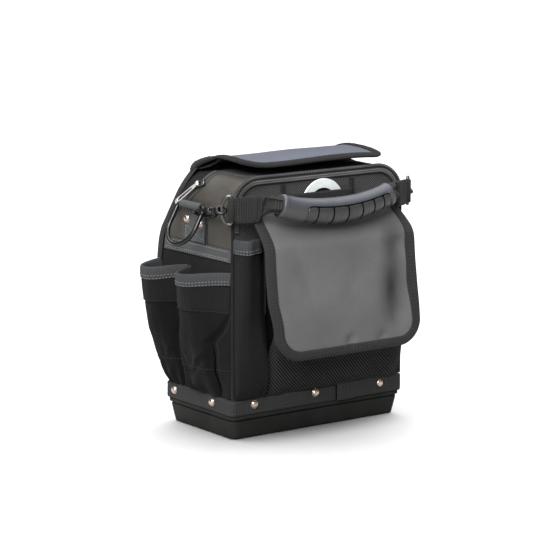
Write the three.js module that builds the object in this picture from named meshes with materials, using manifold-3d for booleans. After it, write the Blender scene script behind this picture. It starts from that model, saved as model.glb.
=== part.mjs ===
// Tool bag on a moulded base: cloth body with pockets, coated flaps, webbing
// handle and metal hardware. Millimetres, +Z up, front towards -Y, origin at
// the middle of the base's underside.
import * as THREE from 'three';
import Module from 'manifold-3d';

const wasm = await Module();
wasm.setup();

// ---------------------------------------------------------------- dimensions
const GAP = 0.4;                 // clearance between neighbouring pieces
const CLOTH = 2.0;               // body cloth wall
const TAPE = 1.5;                // webbing and binding tape
const BODY_HALF = 131;           // half width of the arched body
const ARCH_TOP = 329;            // top of the front arch
const ARCH_R = 38;               // arch corner radius
const BODY_FOOT = 31.4;          // where the cloth body stands on the base
const FRONT_Y = -72.2;           // outer face of the front panel
const WRAP_FRONT = -69.8;        // front edge of end walls and top
const BAND_TOP = 52;             // upper edge of the bottom webbing
const BAND_HALF = [133.9, 74.4]; // outside half size of the bottom webbing
const END_BULGE = 6.6;           // how far the ends belly out at the back
const STRIP_Z = [226, 242];      // grey strip across the ends
const RIVET_Z = 43;              // height of the rivets on the ends and back
const RIVET_R = 5;
const FLAP_T = 2.0;
const FLAP_BINDING = 18;
const FLAP_R = [40, 30];         // front flap bottom corners, left and right
const TOP_BINDING = 15;
const RING_OUT = 33, RING_IN = 21, RING_T = 2, RING_X = 4.5, RING_Z = 287.5;
const D_WIRE = 2.5, D_TILT = 29.2 * Math.PI / 180;
const D_BAR = [140, 4, 289.5];     // distance out, middle y, height of the bar
const D_HALF = 28.5, D_CORNER = 4.5, D_SIDE = 27, D_LONG = 53;
const TAB_HALF = 22;             // half width of the webbing tabs
const SMALL_BAR = [137.5, -79.5, 293.5], SMALL_HALF = 17.5, SMALL_DEEP = 12, SMALL_WIRE = 2.0;
const HOOK_AXIS = [148.4, -57, 290.1];
const GRIP_R = 16.2;

// -------------------------------------------------------------------- tables
// back cover section: height, depth of its outer face, half width
const BACK = [
  { z: 31.4, y: 71.6, hw: 131.0 }, { z: 52, y: 72.0, hw: 131.2 },
  { z: 100, y: 77.0, hw: 135.2 }, { z: 150, y: 81.0, hw: 138.0 },
  { z: 206, y: 83.5, hw: 138.4 }, { z: 224, y: 82.0, hw: 138.0 },
  { z: 237, y: 80.5, hw: 137.2 }, { z: 251, y: 77.0, hw: 136.0 },
  { z: 266, y: 69.0, hw: 134.2 }, { z: 283, y: 59.0, hw: 132.4 },
  { z: 298, y: 50.0, hw: 130.8 }, { z: 316, y: 42.5, hw: 124.0 },
  { z: 324, y: 39.6, hw: 119.0 }, { z: 331, y: 37.8, hw: 114.0 },
];
// soft dent in the front flap: its middle, reach and depth
const FLAP_DENT = { x: 88, z: 178, rx: 26, rz: 42, deep: 5 };
// front flap from its sewn top edge down to its hem
const FLAP = [
  { y: -81, z: 287, xl: -104, xr: 112 }, { y: -90, z: 275, xl: -107, xr: 112.5 },
  { y: -101, z: 262, xl: -111, xr: 113 }, { y: -109, z: 251.5, xl: -113.5, xr: 113.5 },
  { y: -113.5, z: 243, xl: -115.5, xr: 114 }, { y: -116, z: 218, xl: -116.5, xr: 117 },
  { y: -118.5, z: 185, xl: -111.5, xr: 121 }, { y: -119.5, z: 150, xl: -101, xr: 124.5 },
  { y: -118.5, z: 122, xl: -97, xr: 127 }, { y: -116.8, z: 103.5, xl: -97, xr: 128 },
];
// top flap from the back cover's edge over the crest to its front hem
const TOP = [
  { y: 36.0, z: 333.0, xl: -108, xr: 108 }, { y: 30, z: 335.5, xl: -107, xr: 107 },
  { y: 22, z: 339.5, xl: -104, xr: 106 }, { y: 8, z: 344.5, xl: -102, xr: 106 },
  { y: -8, z: 346.5, xl: -103, xr: 106 }, { y: -28, z: 346.5, xl: -105, xr: 106 },
  { y: -50, z: 344.8, xl: -106, xr: 107 }, { y: -73, z: 340.5, xl: -106, xr: 107 },
];
// pockets: height, the two edges along the wall, depth out from the wall, and
// how much a fold pulls the middle in
const FRONT_POCKET = [
  { z: 52.6, a: -80, b: 128, d: 3.2 }, { z: 62, a: -80.5, b: 128, d: 9 },
  { z: 80, a: -81, b: 128.5, d: 15 }, { z: 105, a: -81.5, b: 129, d: 21 },
  { z: 145, a: -82, b: 129, d: 26.5 }, { z: 190, a: -82, b: 129, d: 29 },
  { z: 235, a: -82, b: 129, d: 29 },
];
const CORNER_POCKET = [
  { z: 52.6, a: -129, b: -86, d: 3.2 }, { z: 66, a: -129.5, b: -85, d: 9 },
  { z: 95, a: -130, b: -84.6, d: 13 }, { z: 140, a: -130, b: -85, d: 16 },
  { z: 200, a: -130, b: -86, d: 18 }, { z: 255, a: -130, b: -87, d: 19 },
];
const REAR_SIDE_POCKET = [
  { z: 52.6, a: 29.5, b: 66, d: 3.2 }, { z: 66, a: 28.5, b: 69.5, d: 12 },
  { z: 88, a: 27, b: 72.6, d: 20, fold: 0.2 }, { z: 125, a: 25, b: 76, d: 28.5, fold: 0.1 },
  { z: 165, a: 23, b: 78, d: 34.5 }, { z: 208, a: 21.5, b: 79, d: 39 },
];
const FRONT_SIDE_POCKET = [
  { z: 52.6, a: -66, b: 24, d: 3.2 }, { z: 66, a: -67.5, b: 23.2, d: 15 },
  { z: 88, a: -68.5, b: 22, d: 22.5, fold: 0.25 }, { z: 125, a: -69, b: 20, d: 26.5, fold: 0.1 },
  { z: 165, a: -69, b: 18, d: 29.5 }, { z: 208, a: -69, b: 16.5, d: 33.5 },
];
// plans of the two side pockets, front to rear: place along, depth out
const FRONT_SIDE_PLAN = [
  [-1, 0], [-0.8, 0.1], [-0.52, 0.28], [-0.18, 0.62], [0.14, 0.92], [0.4, 1],
  [0.6, 0.96], [0.74, 0.83], [0.87, 0.56], [0.96, 0.24], [1, 0],
];
const REAR_SIDE_PLAN = [
  [-1, 0], [-0.9, 0.07], [-0.72, 0.19], [-0.46, 0.5], [-0.14, 0.86], [0.2, 1],
  [0.5, 0.99], [0.74, 0.9], [0.92, 0.66], [0.99, 0.34], [1, 0],
];
const SLOT_POCKET = [
  { z: 242, a: -53, b: 51, d: 5.6 }, { z: 250, a: -53, b: 51, d: 6.3 },
  { z: 293.1, a: -53, b: 51, d: 6.6 },
];
// carrying strap from the ring to the grip: place, height, thickness, lean of the section
const STRAP = [
  { x: -134.4, y: -81.5, z: 293.5, h: 29, t: 3.2, lean: 0 },
  { x: -127, y: -85.4, z: 293.3, h: 33, t: 3.6, lean: 0 },
  { x: -113, y: -93.6, z: 294.2, h: 33, t: 4.6, lean: 0 },
  { x: -102, y: -99.2, z: 295.4, h: 31, t: 10, lean: 0.1 },
  { x: -94, y: -103, z: 296.8, h: 27, t: 18, lean: 0.2 },
  { x: -87.6, y: -106.7, z: 297.6, h: 24, t: 20, lean: 0.31 },
];

// ------------------------------------------------------------------- helpers
const V = (x, y, z) => new THREE.Vector3(x, y, z);
const clamp = (v, lo, hi) => Math.min(hi, Math.max(lo, v));

// value of one column of a table at a key, straight between its rows
function column(table, key, name, at) {
  const up = table[0][key] < table[table.length - 1][key];
  for (let i = 0; i < table.length - 1; i++) {
    const p = table[i], q = table[i + 1];
    if (up ? at <= q[key] : at >= q[key]) {
      const f = clamp((at - p[key]) / (q[key] - p[key]), 0, 1);
      return p[name] + (q[name] - p[name]) * f;
    }
  }
  return table[table.length - 1][name];
}

// closed body from points and triangles, turned so that it faces outward
function body(points, tris) {
  let volume = 0;
  for (const [a, b, c] of tris) {
    volume += points[a].dot(new THREE.Vector3().crossVectors(points[b], points[c]));
  }
  const index = [];
  for (const [a, b, c] of tris) index.push(...(volume < 0 ? [a, c, b] : [a, b, c]));
  const geometry = new THREE.BufferGeometry();
  geometry.setAttribute('position', new THREE.Float32BufferAttribute(
    points.flatMap((p) => [p.x, p.y, p.z]), 3));
  geometry.setIndex(index);
  return geometry;
}

// a wall with two faces given over (u, v) in 0..1, closed round its border
function plate(nu, nv, outer, inner) {
  const points = [], tris = [];
  const id = (s, i, j) => s * (nu + 1) * (nv + 1) + j * (nu + 1) + i;
  for (const face of [outer, inner]) {
    for (let j = 0; j <= nv; j++) {
      for (let i = 0; i <= nu; i++) points.push(face(i / nu, j / nv));
    }
  }
  const quad = (a, b, c, d) => tris.push([a, b, c], [a, c, d]);
  for (let j = 0; j < nv; j++) {
    for (let i = 0; i < nu; i++) {
      quad(id(0, i, j), id(0, i + 1, j), id(0, i + 1, j + 1), id(0, i, j + 1));
      const [a, b, c, d] = [id(1, i, j), id(1, i + 1, j), id(1, i + 1, j + 1), id(1, i, j + 1)];
      tris.push([a, c, b], [a, d, c]);
    }
  }
  for (let i = 0; i < nu; i++) {
    quad(id(0, i + 1, 0), id(0, i, 0), id(1, i, 0), id(1, i + 1, 0));
    quad(id(0, i, nv), id(0, i + 1, nv), id(1, i + 1, nv), id(1, i, nv));
  }
  for (let j = 0; j < nv; j++) {
    quad(id(0, 0, j), id(0, 0, j + 1), id(1, 0, j + 1), id(1, 0, j));
    quad(id(0, nu, j + 1), id(0, nu, j), id(1, nu, j), id(1, nu, j + 1));
  }
  return body(points, tris);
}

// rings of equal count joined one after the other; capped, or closed on itself
function loft(rings, closed = false) {
  const n = rings[0].length, points = rings.flat(), tris = [];
  const last = closed ? rings.length : rings.length - 1;
  for (let r = 0; r < last; r++) {
    const s = (r + 1) % rings.length;
    for (let i = 0; i < n; i++) {
      const j = (i + 1) % n;
      tris.push([r * n + i, r * n + j, s * n + j], [r * n + i, s * n + j, s * n + i]);
    }
  }
  if (!closed) {
    for (const [r, flip] of [[0, true], [rings.length - 1, false]]) {
      const middle = rings[r].reduce((m, p) => m.add(p), V(0, 0, 0)).divideScalar(n);
      const c = points.push(middle) - 1;
      for (let i = 0; i < n; i++) {
        const j = (i + 1) % n;
        tris.push(flip ? [c, r * n + j, r * n + i] : [c, r * n + i, r * n + j]);
      }
    }
  }
  return body(points, tris);
}

// rounded rectangle ring at a height
function roundedRing(hx, hy, radius, z, perCorner = 4) {
  const ring = [];
  for (const [sx, sy, start] of [[1, 1, 0], [-1, 1, 1], [-1, -1, 2], [1, -1, 3]]) {
    for (let k = 0; k < perCorner; k++) {
      const a = (start + k / (perCorner - 1)) * Math.PI / 2;
      ring.push(V(sx * (hx - radius) + radius * Math.cos(a), sy * (hy - radius) + radius * Math.sin(a), z));
    }
  }
  return ring;
}

// the same ring with its straight runs divided, for a narrow band
function dividedRing(hx, hy, radius, z) {
  const ring = roundedRing(hx, hy, radius, z), out = [];
  ring.forEach((p, i) => {
    const q = ring[(i + 1) % ring.length], runs = p.distanceTo(q) > 60 ? (Math.abs(p.x - q.x) > 60 ? 10 : 6) : 1;
    for (let k = 0; k < runs; k++) out.push(p.clone().lerp(q, k / runs));
  });
  return out;
}

// round wire along points lying in one plane with normal n
function wire(path, radius, n, sides = 8, closed = true) {
  const rings = path.map((p, i) => {
    const before = path[closed ? (i + path.length - 1) % path.length : Math.max(0, i - 1)];
    const after = path[closed ? (i + 1) % path.length : Math.min(path.length - 1, i + 1)];
    const side = after.clone().sub(before).normalize().cross(n).normalize();
    return Array.from({ length: sides }, (_, k) => {
      const a = 2 * Math.PI * k / sides;
      return p.clone().addScaledVector(n, radius * Math.cos(a)).addScaledVector(side, radius * Math.sin(a));
    });
  });
  return loft(rings, closed);
}

function toSolid(geometry) {
  return new wasm.Manifold(new wasm.Mesh({
    numProp: 3,
    vertProperties: Float32Array.from(geometry.getAttribute('position').array),
    triVerts: Uint32Array.from(geometry.getIndex().array),
  }));
}
function toGeometry(solid) {
  const mesh = solid.getMesh(), points = [], tris = [];
  for (let i = 0; i < mesh.vertProperties.length; i += mesh.numProp) {
    points.push(V(mesh.vertProperties[i], mesh.vertProperties[i + 1], mesh.vertProperties[i + 2]));
  }
  for (let i = 0; i < mesh.triVerts.length; i += 3) {
    tris.push([mesh.triVerts[i], mesh.triVerts[i + 1], mesh.triVerts[i + 2]]);
  }
  return body(points, tris);
}
const join = (...list) => toGeometry(list.map(toSolid).reduce((a, b) => a.add(b)));

// the same body on the other end of the bag
function mirrored(geometry) {
  const p = geometry.getAttribute('position'), index = geometry.getIndex().array;
  const points = [], tris = [];
  for (let i = 0; i < p.count; i++) points.push(V(-p.getX(i), p.getY(i), p.getZ(i)));
  for (let i = 0; i < index.length; i += 3) tris.push([index[i], index[i + 1], index[i + 2]]);
  return body(points, tris);
}

// straight prism between two rings
const prism = (low, high) => loft([low, high]);

const bag = new THREE.Group();
function add(name, geometry, finish) {
  const mesh = new THREE.Mesh(geometry, new THREE.MeshStandardMaterial(finish));
  mesh.name = name;
  bag.add(mesh);
}
const FINISH = {
  base: { color: 0x1b1c1d, roughness: 0.55, metalness: 0 },
  cloth: { color: 0x1d1e1f, roughness: 0.9, metalness: 0 },
  black_web: { color: 0x232526, roughness: 0.85, metalness: 0 },
  grey_web: { color: 0x5d6163, roughness: 0.85, metalness: 0 },
  coated: { color: 0x66686b, roughness: 0.5, metalness: 0 },
  taupe: { color: 0x5f5c56, roughness: 0.8, metalness: 0 },
  rivet: { color: 0xc9a58c, roughness: 0.25, metalness: 1 },
  hardware: { color: 0x2a2b2e, roughness: 0.3, metalness: 1 },
  zip: { color: 0xb9b2aa, roughness: 0.3, metalness: 1 },
  grip: { color: 0x42464d, roughness: 0.6, metalness: 0 },
  pale: { color: 0xd5dbd8, roughness: 0.35, metalness: 0.8 },
};

// ----------------------------------------------------------------- body form
const ARCH_CX = BODY_HALF - ARCH_R, ARCH_CZ = ARCH_TOP - ARCH_R;
const backY = (z) => column(BACK, 'z', 'y', z);
const backHalf = (z) => column(BACK, 'z', 'hw', z);
// how far the end wall stands out at a height and depth
function endX(z, y) {
  const f = clamp((z - 55) / (300 - 55), 0, 1);
  const t = clamp((y - WRAP_FRONT) / (80 - WRAP_FRONT), 0, 1);
  return BODY_HALF + END_BULGE * Math.sin(Math.PI * f) * t;
}
// a point of the arch by height on the straight, then by angle round the corner
function archPoint(step, inset, y) {
  if (step.angle === undefined) return V(-(endX(step.z, y) - inset), y, step.z);
  const r = ARCH_R - inset, c = Math.cos(step.angle), s = Math.sin(step.angle);
  if (step.x === undefined) return V(-(ARCH_CX + r * c), y, ARCH_CZ + r * s);
  return V(step.x, y, ARCH_CZ + r);
}
const heights = (from, to, n) => Array.from({ length: n + 1 }, (_, i) => ({ z: from + (to - from) * i / n }));
const angles = (from, to, n) => Array.from({ length: n + 1 }, (_, i) => ({ angle: (from + (to - from) * i / n) * Math.PI / 180 }));
const stepZ = (s) => archPoint(s, 0, 0).z;
// cloth that follows the arch between two depths given for each step
function wrap(steps, front, rear, nv) {
  const n = steps.length - 1;
  const at = (inset) => (u, v) => {
    const s = steps[Math.round(u * n)], y0 = front(s), y1 = rear(s);
    return archPoint(s, inset, y0 + (y1 - y0) * v);
  };
  return plate(n, nv, at(0), at(CLOTH));
}

// --------------------------------------------------------------- base and band
add('base_tub', loft([
  roundedRing(125.5, 65, 6, 0), roundedRing(128, 67.5, 8, 2.5),
  roundedRing(131.4, 71.4, 8, 23.6), roundedRing(130, 70, 7, 24.4),
  roundedRing(130, 70, 7, 25.4), roundedRing(133, 73.5, 8, 26.4),
  roundedRing(133, 73.5, 8, 31), roundedRing(129, 69.5, 5, 31),
  roundedRing(124.5, 64, 5, 5),
]), FINISH.base);

add('bottom_webbing', loft([
  dividedRing(BAND_HALF[0], BAND_HALF[1], 4.5, BODY_FOOT), dividedRing(BAND_HALF[0], BAND_HALF[1], 4.5, BAND_TOP),
  dividedRing(BAND_HALF[0] - TAPE, BAND_HALF[1] - TAPE, 2.5, BAND_TOP), dividedRing(BAND_HALF[0] - TAPE, BAND_HALF[1] - TAPE, 2.5, BODY_FOOT),
], true), FINISH.black_web);

// dome rivet standing on a face, pointing along a direction
function rivet(at, direction) {
  const profile = [[0, 0], [RIVET_R, 0], [RIVET_R, 0.8], [RIVET_R * 0.72, 2.3], [0, 3]].map(([r, h]) => new THREE.Vector2(r, h));
  const g = new THREE.LatheGeometry(profile, 8);
  g.deleteAttribute('normal'); g.deleteAttribute('uv');
  const turn = new THREE.Quaternion().setFromUnitVectors(V(0, 1, 0), direction);
  g.applyQuaternion(turn);
  g.translate(at.x, at.y, at.z);
  return g;
}
const BASE_RIVETS = [
  { name: 'front_left', x: -100, z: 44, y: -BAND_HALF[1] - GAP, d: V(0, -1, 0) },
  { name: 'front_middle', x: -5, z: 46, y: -BAND_HALF[1] - GAP, d: V(0, -1, 0) },
  { name: 'front_right', x: 98, z: 45, y: -BAND_HALF[1] - GAP, d: V(0, -1, 0) },
  { name: 'back_left', x: -98, y: BAND_HALF[1] + GAP, d: V(0, 1, 0) },
  { name: 'back_middle', x: 0, y: BAND_HALF[1] + GAP, d: V(0, 1, 0) },
  { name: 'back_right', x: 98, y: BAND_HALF[1] + GAP, d: V(0, 1, 0) },
  { name: 'left_rear', x: -BAND_HALF[0] - GAP, y: 55, d: V(-1, 0, 0) },
  { name: 'left_front', x: -BAND_HALF[0] - GAP, y: -30, d: V(-1, 0, 0) },
  { name: 'right_rear', x: BAND_HALF[0] + GAP, y: 55, d: V(1, 0, 0) },
  { name: 'right_front', x: BAND_HALF[0] + GAP, y: -30, d: V(1, 0, 0) },
];
for (const r of BASE_RIVETS) add(`rivet_${r.name}`, rivet(V(r.x, r.y, r.z ?? RIVET_Z), r.d), FINISH.rivet);

// ------------------------------------------------------------------ body walls
function archShape(inset, foot) {
  const shape = new THREE.Shape();
  const hx = BODY_HALF - inset, r = ARCH_R - inset, top = ARCH_TOP - inset;
  shape.moveTo(-hx, foot); shape.lineTo(hx, foot); shape.lineTo(hx, top - r);
  shape.absarc(hx - r, top - r, r, 0, Math.PI / 2, false);
  shape.lineTo(-hx + r, top);
  shape.absarc(-hx + r, top - r, r, Math.PI / 2, Math.PI, false);
  shape.lineTo(-hx, foot);
  return shape;
}
// extrude a front outline (x, z) between two depths
function frontExtrude(shape, yBack, depth, segments = 8) {
  const g = new THREE.ExtrudeGeometry(shape, { depth, bevelEnabled: false, curveSegments: segments });
  g.deleteAttribute('normal'); g.deleteAttribute('uv');
  g.rotateX(Math.PI / 2);
  g.translate(0, yBack, 0);
  return g;
}
add('front_panel', frontExtrude(archShape(0, BODY_FOOT), FRONT_Y + CLOTH, CLOTH), FINISH.cloth);

// zip tape lying along the arch edge of the front panel
const ZIP_LOW = 262, ZIP_W = 9;
const zipShape = new THREE.Shape();
{
  const hx = BODY_HALF - 1, r = ARCH_R - 1, top = ARCH_TOP - 1, k = r - ZIP_W;
  zipShape.moveTo(hx, ZIP_LOW); zipShape.lineTo(hx, top - r);
  zipShape.absarc(hx - r, top - r, r, 0, Math.PI / 2, false);
  zipShape.lineTo(-hx + r, top);
  zipShape.absarc(-hx + r, top - r, r, Math.PI / 2, Math.PI, false);
  zipShape.lineTo(-hx, ZIP_LOW); zipShape.lineTo(-hx + ZIP_W, ZIP_LOW); zipShape.lineTo(-hx + ZIP_W, top - r);
  zipShape.absarc(-hx + r, top - r, k, Math.PI, Math.PI / 2, true);
  zipShape.lineTo(hx - r, top - ZIP_W);
  zipShape.absarc(hx - r, top - r, k, Math.PI / 2, 0, true);
  zipShape.lineTo(hx - ZIP_W, ZIP_LOW);
}
add('front_zip', frontExtrude(zipShape, FRONT_Y - GAP, TAPE, 6), FINISH.black_web);

const rearEdge = (s) => backY(stepZ(s)) - CLOTH - GAP;
const endPanel = wrap(heights(BODY_FOOT, 241.6, 8), () => WRAP_FRONT, rearEdge, 4);
add('end_panel_left', endPanel, FINISH.cloth);
add('end_panel_right', mirrored(endPanel), FINISH.cloth);

// taupe upper end: rear edge runs forward as it climbs
const TAUPE_EDGE = [
  { z: 242, y: 74 }, { z: 262, y: 58 }, { z: 280, y: 40 }, { z: 295, y: 24 },
  { z: 308, y: 10 }, { z: 313, y: 5 }, { z: 319, y: 1.5 }, { z: 328.5, y: 0.5 },
];
const upperSteps = [...heights(242, ARCH_CZ - 0.01, 4), ...angles(8, 80, 7)];
const taupeRear = (s) => Math.min(column(TAUPE_EDGE, 'z', 'y', stepZ(s)), rearEdge(s) - 1);
const endGusset = wrap(upperSteps, () => WRAP_FRONT, taupeRear, 4);
add('end_gusset_left', endGusset, FINISH.taupe);
add('end_gusset_right', mirrored(endGusset), FINISH.taupe);
const rearSteps = [...heights(254, ARCH_CZ - 0.01, 3), ...angles(8, 80, 7)];
const rearGusset = wrap(rearSteps, (s) => taupeRear(s) + GAP, rearEdge, 3);
add('rear_gusset_left', rearGusset, FINISH.cloth);
add('rear_gusset_right', mirrored(rearGusset), FINISH.cloth);

const crown = angles(80.8, 90, 3);
const topSteps = [...crown.map((s) => ({ ...s, side: -1 })), { angle: Math.PI / 2, x: -46 }, { angle: Math.PI / 2, x: 0 },
  { angle: Math.PI / 2, x: 46 }, ...crown.slice().reverse().map((s) => ({ ...s, side: 1 }))];
const topRear = backY(ARCH_TOP) - CLOTH - GAP - 1;
{
  const n = topSteps.length - 1;
  const at = (inset) => (u, v) => {
    const s = topSteps[Math.round(u * n)], y = WRAP_FRONT + (topRear - WRAP_FRONT) * v;
    const p = archPoint(s, inset, y);
    if (s.side === 1) p.x = -p.x;
    return p;
  };
  add('top_gusset', plate(n, 4, at(0), at(CLOTH)), FINISH.cloth);
}

// grey webbing strip across each end
const stripSteps = heights(STRIP_Z[0], STRIP_Z[1] - 0.4, 1);
function endTape(steps, front, rear, nv, off, thick) {
  const n = steps.length - 1;
  const at = (inset) => (u, v) => {
    const s = steps[Math.round(u * n)];
    const y = front + (rear(s) - front) * v;
    return archPoint(s, inset, y);
  };
  return plate(n, nv, at(-off - thick), at(-off));
}
const strip = endTape(stripSteps, WRAP_FRONT + 0.5, (s) => rearEdge(s) - 9, 4, GAP, TAPE);
add('end_strip_left', strip, FINISH.grey_web);
add('end_strip_right', mirrored(strip), FINISH.grey_web);

// back cover, a little fuller in its middle, and its edge tapes
{
  const zs = BACK.map((r) => r.z);
  const at = (inset) => (u, v) => {
    const i = Math.round(v * (zs.length - 1)), r = BACK[i];
    const f = u * 2 - 1, full = 3.2 * (1 - f * f) * Math.sin(Math.PI * clamp((r.z - 52) / 290, 0, 1));
    return V(f * r.hw, r.y + full - inset, r.z);
  };
  add('back_cover', plate(6, zs.length - 1, at(0), at(CLOTH)), FINISH.cloth);
  // the left tape starts above the side pockets, the right one at the band
  const tapeFrom = (low) => {
    const rows = [{ z: low, y: backY(low), hw: backHalf(low) }, ...BACK.filter((r) => r.z > low + 4)];
    const tapeAt = (off) => (u, v) => {
      const r = rows[Math.round(v * (rows.length - 1))];
      return V(-(r.hw + off), r.y - 8.5 + 9.5 * u, r.z);
    };
    return plate(1, rows.length - 1, tapeAt(GAP + TAPE), tapeAt(GAP));
  };
  add('back_binding_left', tapeFrom(212), FINISH.black_web);
  add('back_binding_right', mirrored(tapeFrom(BAND_TOP + 1)), FINISH.black_web);
}

// ------------------------------------------------------------- flaps and tapes
// a flap's face: x across, w from 0 at its sewn edge to 1 at its hem
function flapForm(table, dent) {
  const run = [0];
  for (let i = 1; i < table.length; i++) {
    run.push(run[i - 1] + Math.hypot(table[i].y - table[i - 1].y, table[i].z - table[i - 1].z));
  }
  const rows = table.map((r, i) => ({ ...r, s: run[i] }));
  const long = run[run.length - 1];
  const get = (name, s) => column(rows, 's', name, s);
  const place = (x, s, off) => {
    const dy = get('y', Math.min(long, s + 4)) - get('y', Math.max(0, s - 4));
    const dz = get('z', Math.min(long, s + 4)) - get('z', Math.max(0, s - 4));
    const m = Math.hypot(dy, dz), z = get('z', s);
    const sink = dent ? dent.deep * Math.exp(-(((x - dent.x) / dent.rx) ** 2) - ((z - dent.z) / dent.rz) ** 2) : 0;
    const o = off - sink;
    return V(x, get('y', s) + o * dz / m, z - o * dy / m);
  };
  return { long, place, left: (s) => get('xl', s), right: (s) => get('xr', s) };
}
function roundIn(s, long, r) {
  const k = clamp(s - (long - r), 0, r);
  return r - Math.sqrt(Math.max(0, r * r - k * k));
}
function flapSheet(form, rl, rr, nu, nv, t) {
  const at = (off) => (u, v) => {
    const s = form.long * (1 - (1 - v) * (1 - v * 0.35));
    const l = form.left(s) + roundIn(s, form.long, rl) * 0.98, r = form.right(s) - roundIn(s, form.long, rr) * 0.98;
    return form.place(l + (r - l) * u, s, off);
  };
  return plate(nu, nv, at(t), at(0));
}
// tape lying on a flap's face along its side, hem and other side
function flapTape(form, rl, rr, width, off, t, nSide, nArc, nHem) {
  const L = form.long, path = [];
  for (let i = 0; i < nSide; i++) path.push({ side: -1, s: (L - rl) * i / nSide });
  for (let i = 0; i <= nArc; i++) path.push({ corner: -1, a: i / nArc * Math.PI / 2 });
  for (let i = 1; i < nHem; i++) path.push({ hem: i / nHem });
  for (let i = 0; i <= nArc; i++) path.push({ corner: 1, a: (1 - i / nArc) * Math.PI / 2 });
  for (let i = 1; i <= nSide; i++) path.push({ side: 1, s: (L - rr) * (1 - i / nSide) });
  const point = (p, d, o) => {
    if (p.side) {
      const x = p.side < 0 ? form.left(p.s) + d : form.right(p.s) - d;
      return form.place(x, p.s, o);
    }
    if (p.corner) {
      const r = p.corner < 0 ? rl : rr, s = L - r + (r - d) * Math.sin(p.a);
      const edge = p.corner < 0 ? form.left(L - r) : form.right(L - r);
      return form.place(edge - p.corner * (r - (r - d) * Math.cos(p.a)), s, o);
    }
    const a = form.left(L - rl) + rl, b = form.right(L - rr) - rr;
    return form.place(a + (b - a) * p.hem, L - d, o);
  };
  const n = path.length - 1;
  const at = (o) => (u, v) => point(path[Math.round(u * n)], 0.3 + v * width, o);
  return plate(n, 1, at(off + t), at(off));
}
const frontFlap = flapForm(FLAP, FLAP_DENT), topFlap = flapForm(TOP);
add('front_flap', flapSheet(frontFlap, ...FLAP_R, 8, 15, FLAP_T), FINISH.coated);
add('front_flap_binding', flapTape(frontFlap, ...FLAP_R, FLAP_BINDING, FLAP_T + 1.1, TAPE, 10, 4, 3), FINISH.black_web);
add('top_flap', flapSheet(topFlap, 34, 18, 5, 14, FLAP_T), FINISH.coated);
add('top_flap_binding', flapTape(topFlap, 34, 18, TOP_BINDING, FLAP_T + 1, TAPE, 10, 4, 3), FINISH.black_web);

// ----------------------------------------------------------------------- pockets
// open-topped pocket: a bent wall round a rounded plan, sewn to what is behind
const FRONT_WALL = (a, d, z) => V(a, FRONT_Y - GAP - d, z);
const LEFT_WALL = (a, d, z) => V(-(endX(z, a) + GAP + d), a, z);
function pocket(rows, wall, t, grow, nu, plan) {
  const at = (o) => (u, v) => {
    const r = rows[Math.round(v * (rows.length - 1))], [f, g] = plan(u);
    const half = (r.b - r.a) / 2 + o, mid = (r.a + r.b) / 2;
    const pull = 1 - (r.fold ?? 0) * Math.exp(-(((u - 0.42) / 0.1) ** 2));
    return wall(mid + half * f, (r.d * pull + o) * g, r.z);
  };
  return plate(nu, rows.length - 1, at(grow), at(grow - t));
}
// plan of a pocket: rounded and even, or by points
const evenPlan = (square) => (u) => {
  const c = -Math.cos(Math.PI * u), s = Math.sin(Math.PI * u);
  return [Math.sign(c) * Math.abs(c) ** square, Math.max(0, s) ** square];
};
const pointPlan = (points) => (u) => points[Math.round(u * (points.length - 1))];
// hem tape round the top of a pocket
function hemRows(rows, high) {
  const top = rows[rows.length - 1].z;
  return [top - high, top + 1].map((z) => ({
    z, a: column(rows, 'z', 'a', z), b: column(rows, 'z', 'b', z), d: column(rows, 'z', 'd', z),
  }));
}
add('front_pocket', pocket(FRONT_POCKET, FRONT_WALL, 1.8, 0, 12, evenPlan(0.4)), FINISH.cloth);
add('corner_pocket', pocket(CORNER_POCKET, FRONT_WALL, 1.8, 0, 10, evenPlan(0.5)), FINISH.cloth);
add('corner_pocket_hem', pocket(hemRows(CORNER_POCKET, 17), FRONT_WALL, TAPE, GAP + TAPE, 10, evenPlan(0.5)), FINISH.grey_web);
add('side_pocket_rear', pocket(REAR_SIDE_POCKET, LEFT_WALL, 1.8, 0, 10, pointPlan(REAR_SIDE_PLAN)), FINISH.cloth);
add('side_pocket_rear_hem', pocket(hemRows(REAR_SIDE_POCKET, 15), LEFT_WALL, TAPE, GAP + TAPE, 10, pointPlan(REAR_SIDE_PLAN)), FINISH.grey_web);
add('side_pocket_front', pocket(FRONT_SIDE_POCKET, LEFT_WALL, 1.8, 0, 10, pointPlan(FRONT_SIDE_PLAN)), FINISH.cloth);
add('side_pocket_front_hem', pocket(hemRows(FRONT_SIDE_POCKET, 15), LEFT_WALL, TAPE, GAP + TAPE, 10, pointPlan(FRONT_SIDE_PLAN)), FINISH.grey_web);
add('slot_pocket', pocket(SLOT_POCKET, FRONT_WALL, 1.6, 0, 10, evenPlan(0.3)), FINISH.cloth);
add('slot_hem', pocket([293.5, 305.5].map((z) => ({ z, a: -53, b: 51, d: 6.8 })), FRONT_WALL, 1.8, 0, 10, evenPlan(0.3)), FINISH.black_web);
{
  const shape = new THREE.Shape().absarc(RING_X, RING_Z, RING_OUT, 0, 2 * Math.PI, false);
  shape.holes.push(new THREE.Path().absarc(RING_X, RING_Z, RING_IN, 0, 2 * Math.PI, true));
  add('metal_ring', frontExtrude(shape, FRONT_Y - GAP - TAPE - 0.5, RING_T, 14), FINISH.pale);
}

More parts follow.
